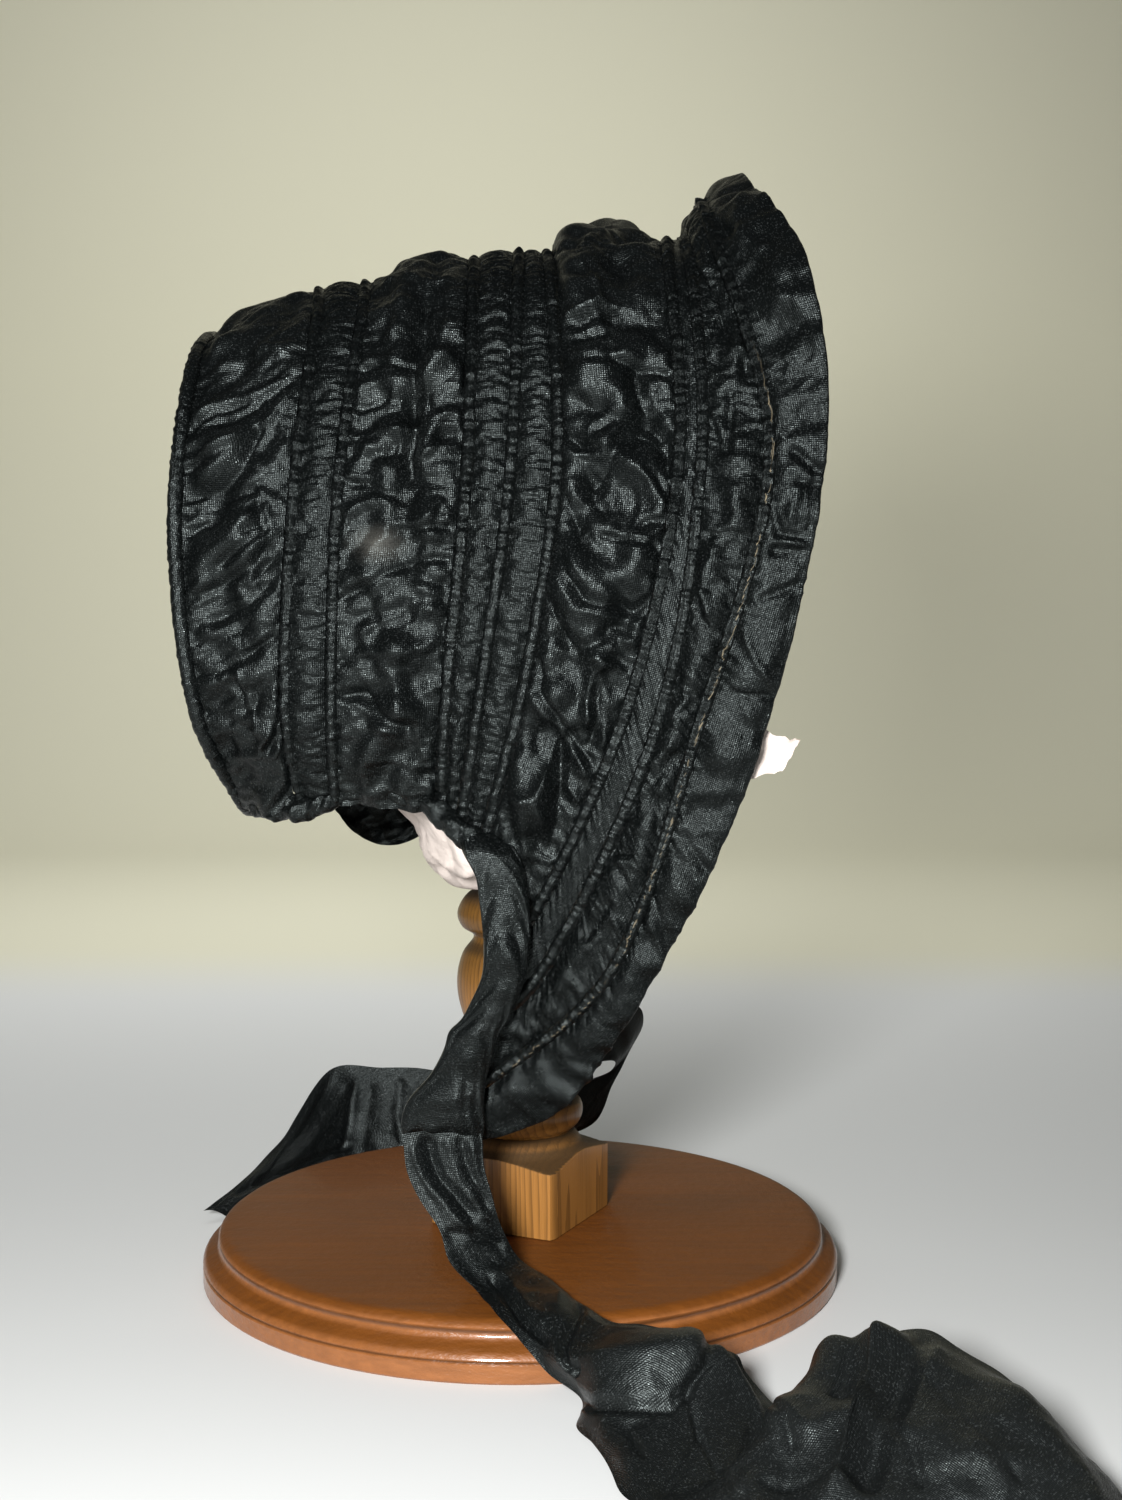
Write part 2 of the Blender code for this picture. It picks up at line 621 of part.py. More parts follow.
def build_ear_ribbons(silk, collection):
    """Folded ribbon with a flattened round section down the rear edge of each ear."""
    for side, label, tuck in ((-1.0, "near", 0.0), (1.0, "far", FAR_RIBBON_TUCK)):
        mesh = bmesh.new()
        rings = []
        for level, (rear, front, sideways, height, thick) in enumerate(EAR_RIBBON):
            rear += tuck * level / (len(EAR_RIBBON) - 1)
            centre, half = 0.5 * (rear + front), 0.5 * (front - rear)
            ring = []
            for i in range(RIBBON_SIDES):
                angle = 2.0 * math.pi * i / RIBBON_SIDES
                across = side * sideways + thick * math.sin(angle)
                ring.append(mesh.verts.new((centre + half * math.cos(angle), across, height)))
            rings.append(ring)
        for upper, lower in zip(rings, rings[1:]):
            for i in range(RIBBON_SIDES):
                j = (i + 1) % RIBBON_SIDES
                mesh.faces.new((upper[i], lower[i], lower[j], upper[j]))
        mesh.faces.new(rings[0])
        mesh.faces.new(list(reversed(rings[-1])))
        bmesh.ops.recalc_face_normals(mesh, faces=mesh.faces)
        name = "ear_ribbon_" + label
        data = bpy.data.meshes.new(name)
        mesh.to_mesh(data)
        mesh.free()
        add_object(name, data, silk, collection).data.shade_smooth()


def build_tie(name, table, silk, collection):
    """Flat ribbon between two edges, bulged upwards where the cloth lies puffed."""
    shares = np.linspace(0.0, 1.0, TIE_COLUMNS + 1)
    grid = []
    for first, second, bulge in table:
        row = np.array(first) + (np.array(second) - np.array(first)) * shares[:, None]
        row[:, 2] += bulge * np.sin(math.pi * shares)
        grid.append(row)
    return add_sheet(name, np.stack(grid), PLAIN_WALL, silk, collection)


def main():
    clear_scene()
    parts = new_collection("poke_bonnet")
    cutters = new_collection("cutters")
    silk = make_material("black_silk", (0.012, 0.013, 0.015), 0.45)
    plaque_wood = make_material("stained_plaque", (0.33, 0.13, 0.045), 0.30)
    post_wood = make_material("oiled_post", (0.45, 0.20, 0.05), 0.45)
    paper = make_material("tissue_paper", (0.85, 0.78, 0.74), 0.85)
    build_plaque(plaque_wood, parts)
    build_post(post_wood, parts, cutters)
    build_pad(paper, parts)
    build_paper_strip(paper, parts)
    build_tip(silk, parts)
    build_panels(silk, parts)
    build_casings(silk, parts)
    build_hems(silk, parts)
    build_far_lobe(silk, parts)
    build_ear_ribbons(silk, parts)
    build_tie("near_tie", NEAR_TIE, silk, parts)
    build_tie("far_tie", FAR_TIE, silk, parts)


main()
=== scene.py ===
"""Drawn silk poke bonnet on its turned wooden stand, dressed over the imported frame."""

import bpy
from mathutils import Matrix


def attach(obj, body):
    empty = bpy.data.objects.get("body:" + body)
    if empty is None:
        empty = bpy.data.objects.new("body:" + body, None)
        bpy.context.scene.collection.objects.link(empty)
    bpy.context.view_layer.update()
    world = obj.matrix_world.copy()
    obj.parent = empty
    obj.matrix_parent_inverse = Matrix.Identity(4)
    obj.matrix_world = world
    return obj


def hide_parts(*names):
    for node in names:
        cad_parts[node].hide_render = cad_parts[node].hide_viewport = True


bl_info = {
    "name": "Drawn Silk Bonnet",
    "version": (1, 0, 0),
    "blender": (4, 5, 0),
    "location": "View3D > Sidebar > Bonnet",
    "description": "Gathered silk, ties, paper and turned wood for a bonnet on its stand",
    "category": "Object",
}

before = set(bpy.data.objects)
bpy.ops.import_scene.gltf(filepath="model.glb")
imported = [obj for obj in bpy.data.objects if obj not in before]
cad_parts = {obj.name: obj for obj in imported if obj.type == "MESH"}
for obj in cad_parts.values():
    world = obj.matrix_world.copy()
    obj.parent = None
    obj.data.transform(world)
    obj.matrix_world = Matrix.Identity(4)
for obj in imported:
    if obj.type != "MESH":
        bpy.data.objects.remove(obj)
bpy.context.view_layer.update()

import math

import bmesh
import bpy
import numpy as np
from bpy.props import FloatProperty, FloatVectorProperty, IntProperty, PointerProperty
from mathutils import Matrix, Vector

MM = 0.001

# Each hoop's stations, from the top centre down the near side to its lower end
# Columns: forward, half width, height
HOOPS = {
    "tip": (
        (-0.0945, 0.0000, 0.2955), (-0.0938, 0.0496, 0.2805), (-0.0961, 0.0670, 0.2350),
        (-0.0915, 0.0600, 0.1800), (-0.0824, 0.0380, 0.1535)),
    "rear_a": (
        (-0.0618, 0.0000, 0.3100), (-0.0574, 0.0555, 0.2932), (-0.0619, 0.0750, 0.2400),
        (-0.0652, 0.0700, 0.1820), (-0.0632, 0.0550, 0.1550)),
    "rear_b": (
        (-0.0472, 0.0000, 0.3117), (-0.0440, 0.0570, 0.2950), (-0.0491, 0.0770, 0.2420),
        (-0.0519, 0.0720, 0.1840), (-0.0527, 0.0590, 0.1550)),
    "middle_a": (
        (-0.0140, 0.0000, 0.3193), (-0.0120, 0.0607, 0.3017), (-0.0132, 0.0820, 0.2460),
        (-0.0191, 0.0770, 0.1880), (-0.0218, 0.0650, 0.1535)),
    "middle_b": (
        (-0.0004, 0.0000, 0.3210), (0.0007, 0.0614, 0.3032), (-0.0011, 0.0830, 0.2470),
        (-0.0096, 0.0780, 0.1880), (-0.0160, 0.0665, 0.1495)),
    "middle_c": (
        (0.0079, 0.0000, 0.3205), (0.0101, 0.0629, 0.3031), (0.0116, 0.0850, 0.2480),
        (0.0024, 0.0800, 0.1900), (-0.0092, 0.0680, 0.1455)),
    "brim_a": (
        (0.0451, 0.0000, 0.3238), (0.0431, 0.0673, 0.3065), (0.0447, 0.0910, 0.2520),
        (0.0314, 0.0850, 0.1850), (0.0033, 0.0680, 0.1220)),
    "brim_b": (
        (0.0496, 0.0000, 0.3236), (0.0490, 0.0688, 0.3064), (0.0506, 0.0930, 0.2520),
        (0.0386, 0.0870, 0.1780), (0.0026, 0.0640, 0.1010)),
    "ridge": (
        (0.0549, 0.0000, 0.3349), (0.0542, 0.0679, 0.3171), (0.0685, 0.0970, 0.2540),
        (0.0499, 0.0910, 0.1780), (0.0259, 0.0760, 0.1080), (-0.0045, 0.0590, 0.0770)),
    "edge": (
        (0.0675, 0.0000, 0.3423), (0.0669, 0.0558, 0.3324), (0.0781, 0.0900, 0.3055),
        (0.0825, 0.1000, 0.2560), (0.0654, 0.0920, 0.1700), (0.0319, 0.0750, 0.0953),
        (0.0097, 0.0620, 0.0640), (-0.0103, 0.0560, 0.0560)),
}

# Cloth between neighbouring hoops: name, rear hoop, front hoop, rows, rise at the top and at the
# sides and lean of its crest, cut length and width over the laid size, slant of its creases, how
# far they are drawn out, their size and depth, depth of the long thin creases, pitch and depth of
# the gathers, and how far these reach
PANELS = (
    ("crown_rear_puff", "tip", "rear_a", 48, 0.0036, 0.0024, 1.7,
     1.04, 1.02, 0.42, 1.9, 0.0200, 0.0130, 0.0042, 0.0014, 0.0012, 0.0075),
    ("crown_rear_band", "rear_a", "rear_b", 15, 0.0012, 0.0010, 1.0,
     1.10, 1.01, 0.10, 1.8, 0.0060, 0.0026, 0.0018, 0.0014, 0.0013, 0.0050),
    ("crown_middle_puff", "rear_b", "middle_a", 48, 0.0050, 0.0030, 1.5,
     1.04, 1.02, 0.08, 1.2, 0.0190, 0.0120, 0.0036, 0.0015, 0.0013, 0.0090),
    ("crown_front_band_a", "middle_a", "middle_b", 14, 0.0010, 0.0010, 1.0,
     1.10, 1.01, -0.08, 1.8, 0.0056, 0.0024, 0.0016, 0.0013, 0.0012, 0.0040),
    ("crown_front_band_b", "middle_b", "middle_c", 13, 0.0008, 0.0008, 1.0,
     1.10, 1.01, 0.12, 1.8, 0.0052, 0.0024, 0.0016, 0.0013, 0.0012, 0.0040),
    ("brim_puff", "middle_c", "brim_a", 54, 0.0072, 0.0036, 0.58,
     1.04, 1.02, -0.15, 1.0, 0.0260, 0.0180, 0.0030, 0.0016, 0.0014, 0.0085),
    ("brim_inner_band", "brim_a", "brim_b", 8, 0.0000, 0.0000, 1.0,
     1.01, 1.00, 0.0, 1.3, 0.0046, 0.0016, 0.0004, 0.0014, 0.0010, 0.0020),
    ("brim_outer_band", "brim_b", "ridge", 18, 0.0012, 0.0018, 1.0,
     1.07, 1.02, 0.10, 1.9, 0.0100, 0.0066, 0.0022, 0.0014, 0.0013, 0.0070),
    ("brim_edge_band", "ridge", "edge", 15, 0.0006, 0.0010, 1.0,
     1.03, 1.02, 0.45, 1.6, 0.0240, 0.0085, 0.0006, 0.0018, 0.0005, 0.0040),
)
# Spacing of the cloth's columns along the casings
COLUMN = 0.00058
# Panels with creases larger than this lie loose, the others are drawn tight
LOOSE_SIZE = 0.010
# Both kinds: rounds of relaxing, highest rise over the base, stiffness against bending
LOOSE_CLOTH = (30, 7.0 * MM, 0.004)
TIGHT_CLOTH = (90, 5.0 * MM, 0.012)
LOWEST_DIP = -3.0 * MM
SKEW_PULL = 0.25
SEAM_ALLOWANCE = 0.003
# The brim's cloth runs on under the ear ribbons past these hoops' lower ends
TUCKED_ENDS = {
    "brim_a": (-0.0045, 0.0680, 0.1140),
    "brim_b": (-0.0080, 0.0640, 0.0930),
    "ridge": (-0.0150, 0.0590, 0.0700),
    "edge": (-0.0200, 0.0560, 0.0540),
}
# Share of the way down where a panel's rise becomes that of its sides, the length over which it
# fades at the lower ends, and what is left of it there
SIDE_START = 0.5
END_FADE = 0.08
END_RISE = 0.35

# Silk over a cane: distance from the cane's line to each side, and height over the hoop
CASING_ACROSS = (-2.6 * MM, -1.7 * MM, -1.2 * MM, -0.6 * MM, 0.0, 0.6 * MM, 1.2 * MM, 1.7 * MM, 2.6 * MM)
CASING_LIFT = (-1.3 * MM, -0.35 * MM, 0.35 * MM, 0.80 * MM, 0.90 * MM, 0.80 * MM, 0.35 * MM, -0.35 * MM,
               -1.3 * MM)
STITCH_REACH = 1.7 * MM
PIPING_REACH = 1.2 * MM
PIPING_RADIUS = 0.0022
TIP_RINGS = 44
TIP_COLUMNS = 720
# Rolled front edge of the brim: its radius, and how far the turning runs back inside
ROLL_RADIUS = 0.9 * MM
TURNING_REACH = 6.0 * MM

PLAQUE_PROFILE = (
    (0.0000, 0.0163), (0.0919, 0.0163), (0.0936, 0.0162), (0.0948, 0.0158), (0.0959, 0.0150),
    (0.0966, 0.0140), (0.0964, 0.0134), (0.0962, 0.0128), (0.0964, 0.0117), (0.0972, 0.0106),
    (0.0987, 0.0097), (0.1002, 0.0088), (0.1011, 0.0078), (0.1015, 0.0068), (0.1010, 0.0060),
    (0.1015, 0.0053), (0.1015, 0.0006), (0.1010, 0.0000), (0.0000, 0.0000))
PLAQUE_TOP = 0.0163
POST_FOOT = PLAQUE_TOP + 0.0003
# Square block: side, radius that its corners keep from the turning, height where that ends, and turn
BLOCK_SIDE = 0.0432
BLOCK_CORNER = 0.0298
BLOCK_TOP = 0.0455
BLOCK_TURN = math.radians(-25.4)
SHOULDER_PROFILE = (
    (0.0158, 0.0449), (0.0168, 0.0446), (0.0180, 0.0434), (0.0196, 0.0414), (0.0216, 0.0398),
    (0.0236, 0.0389), (0.0256, 0.0382), (0.0280, 0.0375), (0.0302, 0.0369), (0.0320, 0.0363))
TURNING_PROFILE = (
    (0.0000, 0.1245), (0.0110, 0.1238), (0.0172, 0.1208), (0.0203, 0.1150), (0.0190, 0.1108),
    (0.0150, 0.1077), (0.0186, 0.1020), (0.0204, 0.0948), (0.0199, 0.0870), (0.0168, 0.0775),
    (0.0128, 0.0680), (0.0118, 0.0610), (0.0150, 0.0572), (0.0192, 0.0540), (0.0199, 0.0507),
    (0.0186, 0.0472), (0.0158, 0.0449))

# Paper pad. Columns: height, forward centre, half length, half width
PAD_SECTIONS = (
    (0.1262, -0.0120, 0.0120, 0.0300), (0.1330, -0.0125, 0.0195, 0.0480),
    (0.1460, -0.0165, 0.0205, 0.0540), (0.1570, -0.0270, 0.0310, 0.0560),
    (0.1750, -0.0385, 0.0400, 0.0590), (0.2100, -0.0385, 0.0440, 0.0610),
    (0.2450, -0.0385, 0.0440, 0.0600), (0.2750, -0.0410, 0.0410, 0.0520),
    (0.2960, -0.0450, 0.0310, 0.0360), (0.3070, -0.0470, 0.0110, 0.0140))
PAD_ROWS = 150
# Columns: forward, sideways, upper height, lower height
PAPER_STRIP = (
    (-0.0020, -0.0655, 0.1960, 0.1800), (0.0150, -0.0757, 0.1960, 0.1780),
    (0.0340, -0.0822, 0.1930, 0.1740), (0.0520, -0.0855, 0.1880, 0.1700),
    (0.0620, -0.0862, 0.1815, 0.1658), (0.0665, -0.0866, 0.1795, 0.1655),
    (0.0700, -0.0868, 0.1780, 0.1661), (0.0735, -0.0868, 0.1766, 0.1670),
    (0.0760, -0.0868, 0.1756, 0.1712), (0.0785, -0.0868, 0.1757, 0.1750))

# Lower edge of the back panel: its drop under the tip hoop's ends, and its width as a share of theirs
NAPE_DROP = 0.0035
NAPE_WIDTH = 0.5
# Rolled lower edge of the crown: forward, sideways, height, radius
HEM_LINE = (
    (-0.0800, 0.0400, 0.1535, 0.0016), (-0.0765, 0.0440, 0.1528, 0.0034),
    (-0.0700, 0.0500, 0.1530, 0.0034), (-0.0625, 0.0545, 0.1535, 0.0036),
    (-0.0560, 0.0570, 0.1552, 0.0030), (-0.0500, 0.0585, 0.1580, 0.0026),
    (-0.0410, 0.0605, 0.1592, 0.0024), (-0.0320, 0.0625, 0.1580, 0.0026),
    (-0.0235, 0.0655, 0.1545, 0.0032), (-0.0165, 0.0685, 0.1490, 0.0036),
    (-0.0105, 0.0700, 0.1440, 0.0034), (-0.0060, 0.0700, 0.1405, 0.0020))

# Ribbon down the rear edge of an ear: rear edge, front edge, sideways, height, half thickness
EAR_RIBBON = (
    (-0.0165, -0.0030, 0.0700, 0.1480, 0.0006), (-0.0150, 0.0010, 0.0735, 0.1425, 0.0022),
    (-0.0116, 0.0030, 0.0740, 0.1360, 0.0028), (-0.0105, 0.0040, 0.0742, 0.1290, 0.0028),
    (-0.0096, 0.0042, 0.0742, 0.1215, 0.0022), (-0.0092, 0.0040, 0.0740, 0.1170, 0.0028),
    (-0.0096, 0.0030, 0.0726, 0.1080, 0.0030), (-0.0132, 0.0000, 0.0704, 0.0990, 0.0028),
    (-0.0156, -0.0020, 0.0694, 0.0945, 0.0028), (-0.0192, -0.0045, 0.0682, 0.0905, 0.0032),
    (-0.0205, -0.0060, 0.0674, 0.0860, 0.0032), (-0.0225, -0.0072, 0.0664, 0.0815, 0.0028),
    (-0.0252, -0.0085, 0.0654, 0.0770, 0.0026), (-0.0318, -0.0095, 0.0640, 0.0690, 0.0026),
    (-0.0338, -0.0095, 0.0628, 0.0620, 0.0024), (-0.0330, -0.0100, 0.0626, 0.0584, 0.0010))
# How far the far ribbon's rear edge is drawn forward at its lower end
FAR_RIBBON_TUCK = 0.0130

# Lobe of the lower hem on the far side. Columns: forward, top height, bottom height
FAR_LOBE = (
    (-0.0660, 0.1470, 0.1420), (-0.0600, 0.1475, 0.1345), (-0.0520, 0.1475, 0.1300),
    (-0.0430, 0.1475, 0.1300), (-0.0340, 0.1470, 0.1345), (-0.0270, 0.1465, 0.1405))
FAR_LOBE_SIDEWAYS = 0.0600

# Near tie: right edge, left edge, bulge between them
NEAR_TIE = (
    ((-0.0105, -0.0635, 0.0605), (-0.0335, -0.0660, 0.0600), 0.0010),
    ((-0.0074, -0.0640, 0.0410), (-0.0292, -0.0670, 0.0430), 0.0020),
    ((-0.0040, -0.0630, 0.0306), (-0.0225, -0.0690, 0.0332), 0.0020),
    ((0.0018, -0.0620, 0.0215), (-0.0189, -0.0720, 0.0250), 0.0020),
    ((0.0112, -0.0720, 0.0182), (-0.0121, -0.0775, 0.0182), 0.0018),
    ((0.0196, -0.0890, 0.0182), (-0.0049, -0.0930, 0.0180), 0.0020),
    ((0.0271, -0.1035, 0.0185), (0.0034, -0.1048, 0.0122), 0.0030),
    ((0.0350, -0.1095, 0.0200), (0.0094, -0.1105, 0.0070), 0.0040),
    ((0.0463, -0.1130, 0.0182), (0.0179, -0.1180, 0.0032), 0.0060),
    ((0.0536, -0.1150, 0.0160), (0.0176, -0.1320, 0.0014), 0.0070),
    ((0.0599, -0.1170, 0.0144), (0.0213, -0.1415, 0.0012), 0.0055),
    ((0.0614, -0.1190, 0.0114), (0.0241, -0.1520, 0.0012), 0.0050),
    ((0.0660, -0.1235, 0.0066), (0.0275, -0.1700, 0.0012), 0.0050),
    ((0.0695, -0.1285, 0.0040), (0.0380, -0.1860, 0.0012), 0.0035),
    ((0.0725, -0.1370, 0.0014), (0.0500, -0.1960, 0.0012), 0.0012),
    ((0.0766, -0.1340, 0.0036), (0.0610, -0.2010, 0.0012), 0.0012),
    ((0.0795, -0.1300, 0.0080), (0.0710, -0.2040, 0.0014), 0.0060),
    ((0.0818, -0.1262, 0.0140), (0.0800, -0.2060, 0.0018), 0.0085),
    ((0.0870, -0.1240, 0.0200), (0.0890, -0.2075, 0.0020), 0.0075),
    ((0.0975, -0.1278, 0.0242), (0.0990, -0.2090, 0.0020), 0.0010),
    ((0.1065, -0.1320, 0.0270), (0.1085, -0.2100, 0.0020), 0.0020),
    ((0.1135, -0.1385, 0.0249), (0.1180, -0.2110, 0.0016), 0.0050),
    ((0.1215, -0.1460, 0.0215), (0.1270, -0.2115, 0.0012), 0.0050),
    ((0.1296, -0.1550, 0.0159), (0.1350, -0.2115, 0.0012), 0.0040),
    ((0.1360, -0.1650, 0.0105), (0.1420, -0.2110, 0.0012), 0.0030),
    ((0.1415, -0.1750, 0.0050), (0.1480, -0.2095, 0.0012), 0.0016),
    ((0.1450, -0.1860, 0.0014), (0.1520, -0.2070, 0.0012), 0.0006))

# Far tie: outer edge, inner edge, bulge between them
FAR_TIE = (
    ((-0.0105, 0.0600, 0.0577), (-0.0205, 0.0625, 0.0577), 0.0000),
    ((0.0040, 0.0690, 0.0600), (-0.0080, 0.0700, 0.0460), 0.0010),
    ((0.0240, 0.0720, 0.0695), (0.0200, 0.0740, 0.0480), 0.0020),
    ((0.0395, 0.0730, 0.0705), (0.0320, 0.0760, 0.0490), 0.0020),
    ((0.0430, 0.0790, 0.0620), (0.0310, 0.0810, 0.0440), 0.0010),
    ((0.0390, 0.0840, 0.0520), (0.0230, 0.0830, 0.0400), 0.0000),
    ((0.0310, 0.0830, 0.0380), (0.0170, 0.0800, 0.0360), 0.0000),
    ((0.0250, 0.0850, 0.0240), (0.0100, 0.0770, 0.0230), 0.0010),
    ((0.0080, 0.0915, 0.0176), (0.0000, 0.0720, 0.0174), 0.0010),
    ((-0.0120, 0.1035, 0.0240), (-0.0120, 0.0820, 0.0174), 0.0010),
    ((-0.0260, 0.1110, 0.0340), (-0.0245, 0.1010, 0.0175), 0.0000),
    ((-0.0390, 0.1130, 0.0375), (-0.0330, 0.1060, 0.0070), -0.0010),
    ((-0.0560, 0.1130, 0.0380), (-0.0450, 0.1050, 0.0030), -0.0020),
    ((-0.0740, 0.1100, 0.0385), (-0.0600, 0.0990, 0.0018), -0.0020),
    ((-0.0894, 0.0850, 0.0185), (-0.0775, 0.0800, 0.0014), 0.0020),
    ((-0.1010, 0.0600, 0.0090), (-0.0915, 0.0580, 0.0014), 0.0020),
    ((-0.1110, 0.0430, 0.0040), (-0.1035, 0.0450, 0.0014), 0.0010))

